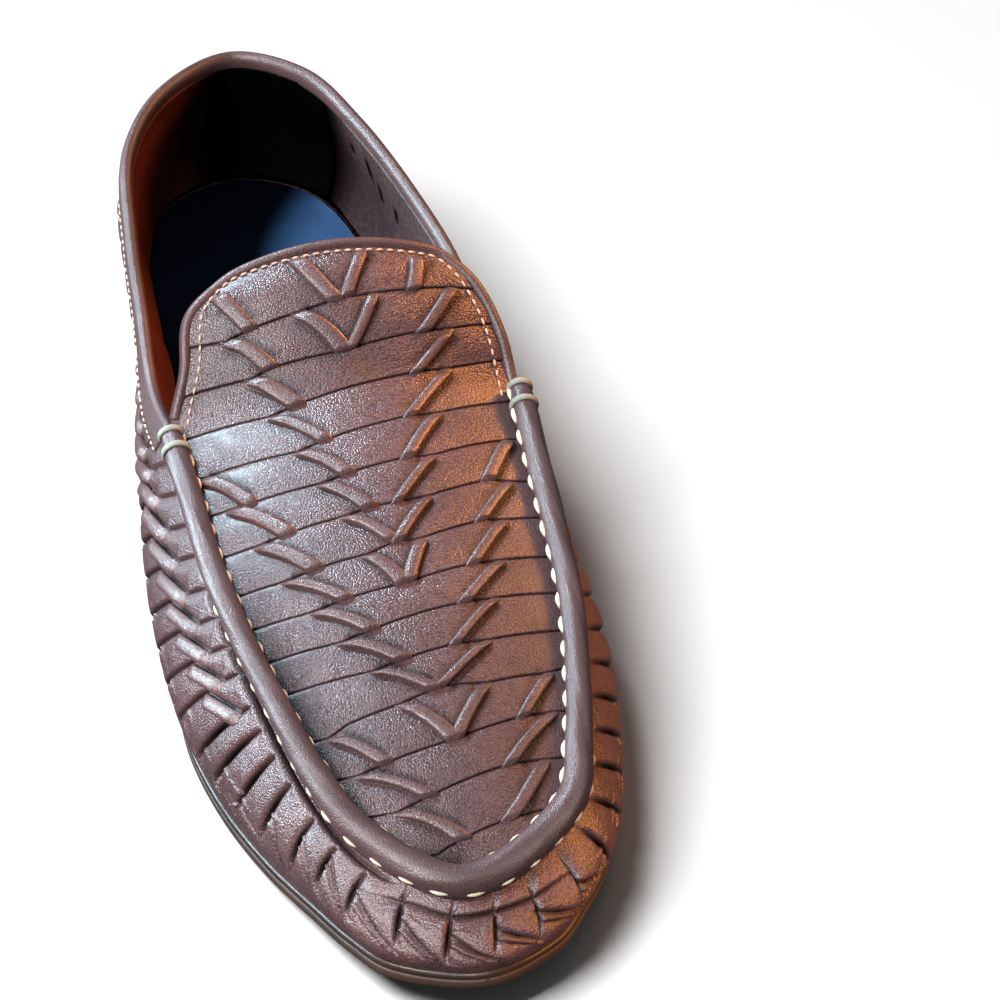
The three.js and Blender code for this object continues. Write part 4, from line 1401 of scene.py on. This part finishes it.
@dataclass
class RolledSeam(Piece):
    """The thick roll around the apron with its thread bars at both ends."""

    radius: float = 2.9
    toe_radius: float = 4.1
    # Its ends are pulled in to a share of the radius over a stretch.
    start: float = 0.008
    end_share: float = 0.84
    end_stretch: float = 0.05
    stations: int = 460
    sides: int = 26
    length: float = 330.0
    step: float = 0.01
    step_limits: Row = (1.0005, 2.9995)
    # Height, slant, wavelength and seed of its dents.
    dents: tuple[tuple[float, float, float, int], ...] = ((0.12, 3.0, 34.0, 4), (0.03, -5.0, 9.0, 9))
    # Thread bars: distances from the throat corner, and sizes of the loop.
    tacks: Row = (1.6, 7.0)
    tack_thickness: float = 1.7
    tack_flat: float = 0.5
    tack_wrap: float = 0.5
    tack_out: float = 0.25
    tack_points: int = 25
    tack_sides: int = 10

    def radius_at(self, turn: Array) -> Array:
        """Radius of the roll, fuller at the toe and pulled in at its ends.

        Args:
            turn: Places around the shoe.

        Returns:
            Radii in millimetres.
        """
        away = np.abs(turn - TOE)
        full = self.radius + (self.toe_radius - self.radius) * smooth(1.0 - 2.0 * away)
        ends = smooth((1.0 - away) / self.end_stretch)
        return full * (self.end_share + (1.0 - self.end_share) * ends)

    def axes(self, turn: Array) -> tuple[Array, Array, Array]:
        """Find how the roll lies.

        Args:
            turn: Places around the shoe.

        Returns:
            Its centre, its outward side and its upward direction.
        """
        last = self.last
        low, high = (np.clip(turn + step, *self.step_limits) for step in (-self.step, self.step))
        run = unit(last.wall(high, 1.0) - last.wall(low, 1.0))
        side = unit(np.cross(UP, run))
        return last.wall(turn, 1.0) + UP * last.roll_drop, side, np.cross(run, side)

    def surface(self, turn: Array, angle: Array | float, out: Array | float = 0.0) -> Array:
        """Find points on the roll.

        Args:
            turn: Places around the shoe.
            angle: Angle around the roll, 0 inward and pi outward.
            out: Distance above its face.

        Returns:
            Points in millimetres.
        """
        centre, side, over = self.axes(turn)
        radius = self.radius_at(turn) + out
        return (centre + side * (radius * np.cos(angle))[..., None]
                + over * (radius * np.sin(angle))[..., None])

    def build(self) -> None:
        """Make the roll and the thread bars at the throat corners."""
        first, final = Quarter.LATERAL_FRONT.value, Quarter.MEDIAL_REAR.value
        turn = np.linspace(first + self.start, final - self.start, self.stations)
        distance = np.linspace(0.0, 1.0, self.stations) * self.length
        dip = np.arcsin((self.last.roll_drop - self.last.gap) / self.radius_at(turn))
        rings = []
        for k in range(self.sides):
            angle = -dip + (math.pi + 2.0 * dip) * k / (self.sides - 1)
            out = sum(height * wander(distance + slant * k, wave, seed)
                      for height, slant, wave, seed in self.dents)
            rings.append(self.surface(turn, angle, out))
        self.publish("rolled_seam", tube(np.stack(rings, axis=1), True), Finish.ROLLED_CALF, Slot.ROLL,
                     ("apron_roll",))
        length = self.last.tops[Quarter.LATERAL_FRONT.value].length
        bars = [self._tack(sign, 1.0 - reach / length) for sign in (-1.0, 1.0) for reach in self.tacks]
        self.publish("thread_bars", join_shapes(bars), Finish.BAR_THREAD, Slot.ROLL)

    def _tack(self, sign: float, away: float) -> Shape:
        """Lay one loop of thread over the roll near its end.

        Args:
            sign: -1 for the lateral end, 1 for the medial end.
            away: Turns from the toe tip.

        Returns:
            Points and faces.
        """
        turn = np.full(self.tack_points, TOE + sign * away)
        angle = np.linspace(-self.tack_wrap, math.pi + self.tack_wrap, self.tack_points)
        path = self.surface(turn, angle, self.tack_out)
        lift = unit(path - self.axes(turn)[0])
        return sweep(path, lift, self.tack_thickness / 2.0, self.tack_sides, self.tack_flat)


@dataclass
class BoundEdges(Piece):
    """The turned edge of the collar and the piped edge of the tongue."""

    collar_start: float = 3.0
    collar_foot: float = 0.865
    thickness: float = 0.6
    clearance: float = 0.1
    stations: int = 520
    station_step: float = 0.7
    # Outer leg: rise above its foot and share of the strip's full offset.
    outer_leg: Rows = ((0, .35), (.008, .9), (.045, 1), (.095, 1.12))
    # Round top: shares of the half turn.
    top_arc: Row = (0.08, 0.92)
    top_points: int = 9
    top_height: float = 1.25
    inner_heights: Row = (0.98, 0.955, 0.935, 0.93, 0.95)
    inner_thin: float = 0.8
    inner_root: float = 0.6
    # Drift of the outer leg: height, slant and wavelength.
    drift: Row = (0.12, 40.0, 15.0)
    piping: float = 1.4
    piping_out: float = 0.3
    piping_rise: float = 0.55
    piping_sides: int = 16
    piping_tall: float = 1.1
    rounding: int = 19

    def build(self) -> None:
        """Make both bound edges."""
        self.publish("collar_edge", self._collar(), Finish.ROLLED_CALF, Slot.BINDING, ("collar_binding",))
        self.publish("tongue_edge", self._tongue(), Finish.ROLLED_CALF, Slot.BINDING, ("tongue_binding",))

    def _collar(self) -> Shape:
        """Turn a strip over the collar: outer leg, round top and inner leg.

        Returns:
            Points and faces.
        """
        last = self.last
        reach = 1.0 - self.collar_start / last.tops[Quarter.LATERAL_REAR.value].length
        turn = np.linspace(-reach, reach, self.stations)
        near, far, skin = self.clearance, self.clearance + self.thickness, last.leather
        distance = np.arange(self.stations) * self.station_step
        height_of_drift, slant, wave = self.drift
        ring = []
        for rise, share in self.outer_leg:
            height = self.collar_foot + rise
            drift = height_of_drift * wander(distance + slant * height, wave, 3)
            ring.append(last.wall_skin(turn, height, far * share + drift))
        half = (skin + 2.0 * far) / 2.0
        for angle in np.linspace(*self.top_arc, self.top_points) * math.pi:
            offset = half * math.cos(angle) - skin / 2.0
            lift = near + self.top_height * half * math.sin(angle)
            ring.append(last.wall_skin(turn, 1.0, offset) + UP * lift)
        inner = (skin + far, skin + far, skin + far * self.inner_thin, skin + near, skin * self.inner_root)
        ring.extend(last.wall_skin(turn, height, -offset)
                    for height, offset in zip(self.inner_heights, inner))
        return tube(np.stack(ring, axis=1), True)

    def tongue_line(self, inset: float, count: int = 260, start: float = 4.0) -> tuple[Array, Array]:
        """Follow the tongue's free edge at an inset.

        Args:
            inset: Distance inside the edge.
            count: Number of points.
            start: Distance past the throat corner.

        Returns:
            Across and share of each point.
        """
        last = self.last
        first = last.corner + start / last.left_edge.length
        finish = 1.0 - inset / last.left_edge.length
        rise = np.linspace(first, finish, count)
        side = 1.0 - inset / last.half_width(rise)
        top = np.linspace(-side[-1], side[-1], count)[1:-1]
        across = np.concatenate([-side, top, side[::-1]])
        share = np.concatenate([rise, np.full(count - 2, finish), rise[::-1]])
        points = last.apron(across, share)
        reach = np.concatenate([[0.0], np.cumsum(np.linalg.norm(np.diff(points, axis=0), axis=1))])
        even = np.linspace(0.0, reach[-1], count)
        across, share = np.interp(even, reach, across), np.interp(even, reach, share)
        kernel = np.hanning(self.rounding + 2)[1:-1]
        kernel /= kernel.sum()
        return tuple(np.convolve(np.pad(line, self.rounding // 2, mode="edge"), kernel, "valid")
                     for line in (across, share))

    def _tongue(self) -> Shape:
        """Turn the tongue's edge into a round cord.

        Returns:
            Points and faces.
        """
        last = self.last
        line = self.tongue_line(self.piping - self.piping_out)
        normal = last.apron_normal(*line)
        path = last.apron(*line) - normal * (last.leather / 2.0 - self.piping_rise)
        return sweep(path, normal, self.piping, self.piping_sides, self.piping_tall)


@dataclass(frozen=True)
class Facing:
    """One leather facing: how deep it reaches, where it ends at the rear and where the painted shade at its
    rear end fades out.
    """

    name: str
    finish: Finish
    depth: float
    rear_end: float
    dark_fade: Row


@dataclass
class Inside(Piece):
    """The lining: a leather facing under the collar on both sides and dark drill elsewhere."""

    # The rear end of each facing is painted dark in its cut colour: painted shade for the deep shade inside
    # the heel.
    lateral: Facing = Facing("lateral_facing", Finish.FACING, 46.0, -0.19, (0.03, 0.12))
    medial: Facing = Facing("medial_facing", Finish.MEDIAL_FACING, 42.0, 0.2, (0.19, 0.12))
    front_end: float = 0.985
    facing_columns: int = 240
    facing_rows: int = 80
    facing_top: float = 0.965
    foot_limits: Row = (0.05, 0.9)
    # Thickness at the rear end, its gain and the stretch of that.
    facing_thick: Row = (0.3, 0.7, 0.1)
    facing_back: float = 0.2
    # Bumps: height, slants along and up, and wavelength.
    bumps: Row = (0.3, 130.0, 9.0, 21.0)
    # Slits in the medial facing: turn, height and length in millimetres.
    slits: Rows = ((3.724, .784, 3.6), (3.669, .768, 7), (3.632, .658, 6), (3.57, .676, 4.4))
    slit_half: float = 1.3
    turn_length: float = 150.0
    slit_slant: Row = (0.94, 0.34)
    drill_columns: int = 400
    drill_rows: int = 16
    drill_span: Row = (0.02, 0.95)
    drill_face: float = -0.1
    drill_back: float = 0.15

    def build(self) -> None:
        """Make the facings, the lining of the vamp and the sock on the insole."""
        lateral, medial = (np.linspace(facing.rear_end, self.front_end, self.facing_columns)
                           for facing in (self.lateral, self.medial))
        self._facing(self.lateral, lateral, lateral)
        self._facing(self.medial, ROUND - medial[::-1], medial[::-1])
        self._lining()
        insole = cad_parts["insole"]
        insole.data.materials.clear()
        insole.data.materials.append(self.materials[Finish.SOCK])

    def _facing(self, facing: Facing, turn: Array, place: Array) -> None:
        """Lay one facing along the inside of a quarter.

        Args:
            facing: Which one.
            turn: Stations around the shoe.
            place: The same stations counted from the heel back.
        """
        last = self.last
        tall = np.linalg.norm(last.wall(turn, 1.0) - last.wall(turn, 0.0), axis=-1)
        foot = np.clip(1.0 - facing.depth / tall, *self.foot_limits)[:, None]
        part = np.linspace(0.0, 1.0, self.facing_rows)[None, :]
        levels = foot + (self.facing_top - foot) * part
        wide = np.broadcast_to(turn[:, None], levels.shape)
        bump, along, upward, wave = self.bumps
        bumps = bump * wander(place[:, None] * along + upward * part, wave, 12) * (1.0 - part)
        thin, gain, stretch = self.facing_thick
        thick = thin + gain * smooth((place - place.min()) / stretch)[:, None]
        face = last.wall_skin(wide, levels, bumps * thick - last.leather - thick)
        back = last.wall_skin(wide, levels, -last.leather - self.facing_back)
        points = np.concatenate([face, back[:, ::-1]], axis=1)
        # Painted shade at the rear end, inside the heel.
        shade = 1.0 - ramp(place, facing.dark_fade)
        dark = np.repeat(shade[:, None], points.shape[1], axis=1)
        front = dark[:, :levels.shape[1]]
        upright, slant = self.slit_slant
        for spot, level, length in self.slits:
            x, y = (wide - spot) * self.turn_length, (levels - level) * tall[:, None]
            ahead, beside = upright * y + slant * x, upright * x - slant * y
            slit = np.exp(-(beside / self.slit_half) ** 4 - (2.0 * ahead / length) ** 4)
            np.maximum(front, slit, out=front)
        self.publish(facing.name, tube(points, True), facing.finish, Slot.WOVEN, (), dark.ravel())

    def _lining(self) -> None:
        """Line the wall with dark drill, from the feather line up to under the facing."""
        last = self.last
        turn = np.linspace(0.0, ROUND, self.drill_columns, endpoint=False)
        wide, high = np.meshgrid(turn, np.linspace(*self.drill_span, self.drill_rows))
        back, face = (last.wall_skin(wide, high, off - last.leather)
                      for off in (self.drill_back, self.drill_face))
        points = np.concatenate([back, face[::-1]])
        faces = grid_faces(len(points), len(turn), True, True)
        self.publish("drill_lining", (points.reshape(-1, 3), faces), Finish.LINING, Slot.WOVEN)


@dataclass
class Sole(Piece):
    """Outsole, welt and heel with their trimmed and rounded edges."""

    points_around: int = 520
    # Sections of the edges: inset in millimetres and share of the height, from the bottom up.
    bend_profile: Rows = ((.9, 0), (.3, .12), (.05, .4), (0, .75), (.12, 1))
    welt_profile: Rows = ((.35, 0), (.05, .18), (-.05, .5), (.05, .82), (.5, 1))
    heel_profile: Rows = ((2.1, 0), (1.5, .06), (.825, .5), (.3, .98), (.6, 1))
    heel_breast: float = 0.27
    heel_start: float = 0.004
    heel_gap: float = 0.3
    heel_columns: int = 70
    search_points: int = 600

    def build(self) -> None:
        """Make the three layers."""
        last = self.last
        bottom, outsole = last.sole_bottom, last.outsole
        bend = self._layer(bottom, lambda along: bottom(along) + outsole, self.bend_profile)
        self.publish("sole_bend", bend, Finish.SOLE_BEND, Slot.SOLE, ("outsole",))
        welt = self._layer(lambda along: bottom(along) + outsole, last.sole_top, self.welt_profile)
        self.publish("welt_edge", welt, Finish.WAXED_EDGE, Slot.EDGE, ("welt",))
        self.publish("heel_block", self._heel(), Finish.WAXED_EDGE, Slot.HEEL, ("heel",))

    def _layer(self, low: Callable[[Array], Array], high: Callable[[Array], Array],
               profile: Rows) -> Shape:
        """Close a layer between two heights over the whole outline.

        Args:
            low: Gives the lower height at a place along the foot.
            high: Gives the upper height.
            profile: Inset in millimetres and share of the height, from the bottom up.

        Returns:
            Points and faces.
        """
        last, half = self.last, self.points_around // 2
        lateral = np.linspace(0.0, last.tip_share, half, endpoint=False)
        medial = np.linspace(last.tip_share, 1.0, half, endpoint=False)
        share = np.concatenate([lateral, medial])
        rings = []
        for inset, part in profile:
            ring = last.rim(share, inset)
            along = last.along(ring)
            ring[:, 2] = low(along) + (high(along) - low(along)) * part
            rings.append(ring)
        points = np.stack(rings)
        size = len(share)
        faces = [grid_faces(len(rings), size, wrap_columns=True)[:, ::-1]]
        run = np.arange(half)
        mate = (size - run) % size
        cap = ladder_faces(np.append(run, half), np.append(mate, half))
        faces.extend([cap, cap[:, ::-1] + (len(rings) - 1) * size])
        return points.reshape(-1, 3), np.concatenate(faces)

    def _heel(self) -> Shape:
        """Close the heel block between the floor and the outsole.

        Returns:
            Points and faces.
        """
        last = self.last
        lateral = np.linspace(0.0, last.tip_share, self.search_points)
        places = last.along(last.outline.at(lateral))
        breast = np.interp(self.heel_breast, places, lateral / last.tip_share)
        steps = np.linspace(self.heel_start, breast, self.heel_columns)
        rings = []
        for side in (steps * last.tip_share, 1.0 - steps * (1.0 - last.tip_share)):
            column = []
            for inset, height in self.heel_profile:
                ring = last.rim(side, inset)
                ring[:, 2] = height * (last.sole_bottom(last.along(ring)) - last.gap * self.heel_gap)
                column.append(ring)
            rings.append(np.stack(column, axis=1))
        return tube(np.concatenate([rings[0], rings[1][:, ::-1]], axis=1))


@dataclass(frozen=True)
class Stitch:
    """Sizes of one kind of stitch in millimetres, with its thread and the slot it belongs to."""

    pitch: float
    length: float
    thickness: float
    bend: float
    thread: Finish = Finish.SEAM_THREAD
    slot: Slot = Slot.ROLL


@dataclass
class Stitching(Piece):
    """Runs of thread stitches, laid along lines on the leather by a node tree."""

    tree: NodeTree | None = None
    labels: tuple[str, ...] = ("Pitch", "Length", "Thickness", "Bend")
    # Hand stitches, each with its angle on the roll and distance above it.
    hand: Stitch = Stitch(7.0, 6.1, 1.4, 0.8)
    hand_line: Row = (0.12, 0.05)
    tucked: Stitch = Stitch(7.0, 5.0, 1.0, 0.5)
    tucked_line: Row = (-0.02, 0.08)
    toe: Stitch = Stitch(7.8, 5.4, 0.95, 0.7)
    toe_line: Row = (math.pi + 0.08, 0.0)
    flank: Stitch = Stitch(7.4, 4.2, 0.75, 0.5)
    flank_line: Row = (math.pi + 0.3, 0.0)
    seam_span: Row = (1.02, 2.98)
    tucked_end: float = 1.84
    toe_middle: float = 2.03
    toe_half: float = 0.26
    flank_span: Row = (1.36, 1.72)
    outer_lift: float = 0.3
    line_points: int = 900
    tongue: Stitch = Stitch(2.5, 1.75, 0.6, 0.1, Finish.EDGE_THREAD, Slot.BINDING)
    tongue_inset: float = 4.8
    tongue_start: float = 2.0
    tongue_points: int = 420
    tongue_out: float = 0.45
    collar: Stitch = Stitch(2.6, 1.7, 0.5, 0.1, Finish.EDGE_THREAD, Slot.BINDING)
    collar_start: float = 4.0
    collar_rise: float = 0.004
    collar_out: float = 0.75

    def build(self, seam: RolledSeam, edges: BoundEdges) -> None:
        """Sew the rolled seam, the tongue and the collar.

        Args:
            seam: The roll, whose sides carry the hand stitches.
            edges: The bound edges, which carry the machine stitches.
        """
        self.tree = self._make_tree()
        self._sew_seam(seam)
        last = self.last
        across, share = edges.tongue_line(self.tongue_inset, self.tongue_points, self.tongue_start)
        path = last.apron_skin(across, share, self.tongue_out)
        self._sew("tongue_stitches", path, last.apron_normal(across, share), self.tongue)
        reach = 1.0 - self.collar_start / last.tops[Quarter.LATERAL_REAR.value].length
        turn = np.linspace(-reach, reach, self.line_points)
        level = edges.collar_foot + self.collar_rise
        path = last.wall_skin(turn, level, self.collar_out)
        self._sew("collar_stitches", path, last.wall_normal(turn, level), self.collar)

    def _sew_seam(self, seam: RolledSeam) -> None:
        """Sew the four runs of hand stitches along both sides of the roll.

        Args:
            seam: The roll.
        """
        turn = np.linspace(*self.seam_span, self.line_points)
        centre = seam.axes(turn)[0]
        lift_in = unit(seam.surface(turn, *self.hand_line) - centre + UP)
        lift_out = unit(seam.surface(turn, *self.toe_line) - centre + self.outer_lift * UP)
        shown = turn > self.tucked_end
        front = np.abs(turn - self.toe_middle) < self.toe_half
        side = (turn > self.flank_span[0]) & (turn < self.flank_span[1])
        runs = (("inner", shown, self.hand_line, lift_in, self.hand),
                ("tucked", ~shown, self.tucked_line, lift_in, self.tucked),
                ("toe", front, self.toe_line, lift_out, self.toe),
                ("flank", side, self.flank_line, lift_out, self.flank))
        for name, chosen, line, lift, stitch in runs:
            path = seam.surface(turn[chosen], *line)
            self._sew("seam_stitches_" + name, path, lift[chosen], stitch)

    def _make_tree(self) -> NodeTree:
        """Build the tree: resample a line and lay one bent stitch on each point.

        Returns:
            The node tree, with named inputs for its sizes.
        """
        tree = bpy.data.node_groups.new("lay_stitches", "GeometryNodeTree")
        add, face = partial(add_node, tree), tree.interface
        face.new_socket("Geometry", in_out="INPUT", socket_type="NodeSocketGeometry")
        for name in self.labels:
            face.new_socket(name, in_out="INPUT", socket_type="NodeSocketFloat")
        face.new_socket("Material", in_out="INPUT", socket_type="NodeSocketMaterial")
        face.new_socket("Geometry", in_out="OUTPUT", socket_type="NodeSocketGeometry")
        given = add("NodeGroupInput").outputs
        line = add("GeometryNodeMeshToCurve", {"Mesh": given["Geometry"]})
        even = add("GeometryNodeResampleCurve", {
            "Curve": line.outputs[0], "Length": given["Pitch"]}, mode="LENGTH")
        tangent = add("GeometryNodeInputTangent")
        lift = add("GeometryNodeInputNamedAttribute", {"Name": "lift"}, data_type="FLOAT_VECTOR")
        turned = add("FunctionNodeAlignRotationToVector", {"Vector": tangent.outputs[0]}, axis="X")
        upright = add("FunctionNodeAlignRotationToVector", {
            "Rotation": turned.outputs[0], "Vector": lift.outputs[0]}, axis="Z", pivot_axis="X")
        ball = add("GeometryNodeMeshUVSphere", {"Segments": 10, "Rings": 8, "Radius": 0.5})
        size = add("ShaderNodeCombineXYZ", {
            0: given["Length"], 1: given["Thickness"], 2: given["Thickness"]})
        stitch = add("GeometryNodeTransform", {"Geometry": ball.outputs[0], "Scale": size.outputs[0]})
        spot = add("GeometryNodeInputPosition")
        split = add("ShaderNodeSeparateXYZ", {0: spot.outputs[0]})
        share = add("ShaderNodeMath", {0: split.outputs[0], 1: given["Length"]}, operation="DIVIDE")
        square = add("ShaderNodeMath", {0: share.outputs[0], 1: share.outputs[0]}, operation="MULTIPLY")
        sag = add("ShaderNodeMath", {0: square.outputs[0], 1: given["Bend"]}, operation="MULTIPLY")
        drop = add("ShaderNodeMath", {0: sag.outputs[0], 1: -4.0}, operation="MULTIPLY")
        shift = add("ShaderNodeCombineXYZ", {2: drop.outputs[0]})
        bent = add("GeometryNodeSetPosition", {"Geometry": stitch.outputs[0], "Offset": shift.outputs[0]})
        soft = add("GeometryNodeSetShadeSmooth", {"Geometry": bent.outputs[0]})
        laid = add("GeometryNodeInstanceOnPoints", {
            "Points": even.outputs[0], "Instance": soft.outputs[0], "Rotation": upright.outputs[0]})
        real = add("GeometryNodeRealizeInstances", {"Geometry": laid.outputs[0]})
        dressed = add("GeometryNodeSetMaterial", {
            "Geometry": real.outputs[0], "Material": given["Material"]})
        add("NodeGroupOutput", {"Geometry": dressed.outputs[0]})
        return tree

    def _sew(self, name: str, path: Array, lift: Array, stitch: Stitch) -> None:
        """Lay one run of stitches and keep it as a plain mesh.

        Args:
            name: Name of the piece.
            path: Points of the line.
            lift: Direction away from the leather at each point.
            stitch: What it is sewn with.
        """
        mesh = bpy.data.meshes.new(name + "_line")
        order = np.arange(len(path))
        pairs = np.stack([order[:-1], order[1:]], -1)
        mesh.from_pydata(self.last.to_row(path).tolist(), pairs.tolist(), [])
        mesh.attributes.new("lift", "FLOAT_VECTOR", "POINT").data.foreach_set(
            "vector", lift.astype(np.float32).ravel())
        guide = put(name + "_line", mesh)
        modifier = guide.modifiers.new("stitches", "NODES")
        modifier.node_group = self.tree
        sockets = {item.name: item.identifier for item in self.tree.interface.items_tree
                   if item.in_out == "INPUT"}
        sizes = (stitch.pitch, stitch.length, stitch.thickness, stitch.bend)
        for label, size in zip(self.labels, sizes):
            modifier[sockets[label]] = size * MM
        modifier[sockets["Material"]] = self.materials[stitch.thread]
        ready = guide.evaluated_get(bpy.context.evaluated_depsgraph_get())
        plain = bpy.data.meshes.new_from_object(ready)
        plain.name = name
        guide.modifiers.remove(modifier)
        made = put(name, plain)
        bpy.data.objects.remove(guide)
        self.tie(made, stitch.slot)


class Lit(Enum):
    """What a lamp lights."""

    OUTSIDE = "outside_pieces"
    FLAT = "flat_pieces"
    SOCK = "inside_pieces"
    SIDES = "side_pieces"
    ROLL = "rolled_pieces"
    RIMS = "rim_pieces"
    FLOOR = "floor_only"


@dataclass(frozen=True)
class Lamp:
    """One lamp in metres and watts: a square one by its side, or a round beam by radius and angle."""

    name: str
    lit: Lit
    place: Row
    aim: Row
    size: float
    power: float
    color: Row
    angle: float = 0.0


@dataclass
class Studio:
    """Pale floor, soft light and a camera at the picture's angle."""

    last: Last
    azimuth: float = -13.49
    elevation: float = 39.93
    roll: float = 0.82
    distance: float = 1505.06
    target: Row = (31.68, -23.35, 45.0)
    lens: float = 232.4
    sensor: float = 36.0
    far_clip: float = 50.0
    floor_half: float = 6.0
    floor_drop: float = 0.0003
    floor_color: str = "#f4f4f3"
    sky_color: Row = (0.93, 0.96, 1.0, 1.0)
    sky_strength: float = 0.08
    lamps: tuple[Lamp, ...] = (
        Lamp("floor_wash", Lit.FLOOR, (-0.75, -0.25, 1.5), (0.0, 0.0, 0.0), 0.8, 44.0, (1.0, 1.0, 1.0)),
        Lamp("window_left", Lit.OUTSIDE, (-1.05, -0.55, 1.15), (0.0, -0.03, 0.04), 0.4, 41.0,
             (1.0, 0.98, 0.97)),
        Lamp("window_top", Lit.OUTSIDE, (-0.4, -0.42, 1.5), (0.0, 0.03, 0.07), 0.25, 10.0,
             (0.8, 0.93, 1.0)),
        Lamp("window_back", Lit.OUTSIDE, (-0.46, 1.06, 1.14), (0.0, -0.03, 0.06), 0.36, 11.0,
             (0.62, 0.86, 1.0)),
        Lamp("window_low", Lit.RIMS, (-1.35, 0.85, 0.42), (0.0, -0.03, 0.05), 0.6, 64.0,
             (0.66, 0.88, 1.0)),
        Lamp("front_fill", Lit.SIDES, (-0.3, -1.4, 0.75), (0.0, -0.1, 0.03), 0.6, 28.0,
             (1.0, 0.95, 0.92)),
        Lamp("lamp_right", Lit.FLAT, (1.0, 0.4, 0.72), (0.03, -0.03, 0.05), 0.5, 12.0, (1.0, 0.4, 0.1)),
        Lamp("window_right", Lit.ROLL, (0.9, -0.5, 1.0), (0.03, -0.04, 0.06), 0.5, 9.0,
             (1.0, 0.88, 0.84)),
        Lamp("lamp_low", Lit.SIDES, (1.15, -0.35, 0.4), (0.03, -0.05, 0.03), 0.5, 19.0,
             (1.0, 0.36, 0.06)),
        Lamp("beam_back", Lit.OUTSIDE, (-0.46, 1.06, 1.14), (-0.014, 0.012, 0.073), 0.06, 200.0,
             (0.58, 0.85, 1.0), 6.0),
        Lamp("beam_right", Lit.FLAT, (1.0, 0.4, 0.72), (0.032, 0.014, 0.075), 0.06, 120.0,
             (1.0, 0.3, 0.03), 6.0),
        Lamp("window_inside", Lit.SOCK, (-0.85, 0.03, 0.87), (0.0, 0.08, 0.02), 0.2, 66.0,
             (0.84, 0.95, 1.0)))

    def build(self) -> None:
        """Set the floor, the lights, the sky and the camera."""
        pieces = [piece.name for piece in bpy.context.scene.objects if piece.type == "MESH"]
        self._floor()
        groups = self._groups(pieces)
        for lamp in self.lamps:
            self._hang(lamp, groups[lamp.lit])
        self._sky()
        self._camera()
        bpy.context.scene.view_settings.view_transform = "Standard"

    def _groups(self, pieces: list[str]) -> dict[Lit, Collection]:
        """Gather the things that each kind of lamp lights.

        Args:
            pieces: Names of the shoe's pieces.

        Returns:
            The groups.
        """
        inside = ("insole", "drill_lining")
        apron = ("apron_bands", "apron_thongs", "tongue_edge", "tongue_stitches")
        outside = [name for name in pieces if name not in inside]
        members = {
            Lit.OUTSIDE: outside,
            Lit.FLAT: [name for name in outside if name != "rolled_seam"],
            Lit.SOCK: ["insole"],
            Lit.SIDES: ["woven_wall", "wall_thongs", "welt_edge", "sole_bend"],
            Lit.ROLL: ["rolled_seam"],
            Lit.RIMS: [name for name in outside if name not in apron],
            Lit.FLOOR: ["floor"]}
        groups = {}
        for lit, names in members.items():
            groups[lit] = bpy.data.collections.new(lit.value)
            for name in names:
                groups[lit].objects.link(bpy.data.objects[name])
        return groups

    def _floor(self) -> None:
        """Lay a wide pale floor just under the sole, which gives no light back to the shoe."""
        mesh = bpy.data.meshes.new("floor")
        half = self.floor_half
        corners = [(x * half, y * half, -self.floor_drop) for x, y in ((-1, -1), (1, -1), (1, 1), (-1, 1))]
        mesh.from_pydata(corners, [], [(0, 1, 2, 3)])
        # Matt white board: an even pale ground.
        material = bpy.data.materials.new("matt_white_board")
        material.use_nodes = True
        shader = material.node_tree.nodes["Principled BSDF"]
        shader.inputs["Base Color"].default_value = to_linear(self.floor_color)
        shader.inputs["Roughness"].default_value = 0.9
        mesh.materials.append(material)
        floor = put("floor", mesh)
        floor.visible_diffuse = floor.visible_glossy = False

    def _hang(self, lamp: Lamp, group: Collection) -> None:
        """Hang one lamp, aim it and keep its light on its group.

        Args:
            lamp: The lamp.
            group: Things that it lights.
        """
        light = bpy.data.lights.new(lamp.name, "SPOT" if lamp.angle else "AREA")
        light.energy, light.color = lamp.power, lamp.color
        if lamp.angle:
            light.shadow_soft_size = lamp.size
            light.spot_size, light.spot_blend = math.radians(lamp.angle), 1.0
        else:
            light.size = lamp.size
        made = put(lamp.name, light)
        made.location = lamp.place
        facing = Vector(lamp.aim) - Vector(lamp.place)
        made.rotation_euler = facing.to_track_quat("-Z", "Y").to_euler()
        made.light_linking.receiver_collection = group

    def _sky(self) -> None:
        """Give the room an even pale light."""
        world = bpy.data.worlds.new("room")
        bpy.context.scene.world = world
        world.use_nodes = True
        ground = world.node_tree.nodes["Background"]
        ground.inputs["Color"].default_value = self.sky_color
        ground.inputs["Strength"].default_value = self.sky_strength

    def _camera(self) -> None:
        """Set the camera at the picture's viewing angle."""
        azimuth, elevation, roll = (math.radians(a) for a in (self.azimuth, self.elevation, self.roll))
        level = math.cos(elevation)
        back = Vector((math.sin(azimuth) * level, -math.cos(azimuth) * level, math.sin(elevation)))
        right = (-back).cross(Vector((0, 0, 1))).normalized()
        above = right.cross(-back)
        turned = right * math.cos(roll) + above * math.sin(roll)
        above = above * math.cos(roll) - right * math.sin(roll)
        camera = bpy.data.cameras.new("camera")
        camera.lens, camera.sensor_width, camera.clip_end = self.lens, self.sensor, self.far_clip
        made = put("camera", camera)
        aim = Vector(self.last.to_row(np.array(self.target)))
        facing = Matrix((turned, above, back)).transposed().to_4x4()
        made.matrix_world = Matrix.Translation(aim + back * self.distance * MM) @ facing
        bpy.context.scene.camera = made


def main() -> None:
    """Build every piece in order."""
    logging.basicConfig(level=logging.INFO, format="%(name)s %(message)s")
    last = Last()
    materials = {finish: finish.value.make() for finish in Finish}
    WovenApron(last, materials).build()
    WovenWall(last, materials).build()
    seam = RolledSeam(last, materials)
    seam.build()
    edges = BoundEdges(last, materials)
    edges.build()
    Inside(last, materials).build()
    Sole(last, materials).build()
    Stitching(last, materials).build(seam, edges)
    Studio(last).build()


if __name__ == "__main__":
    main()
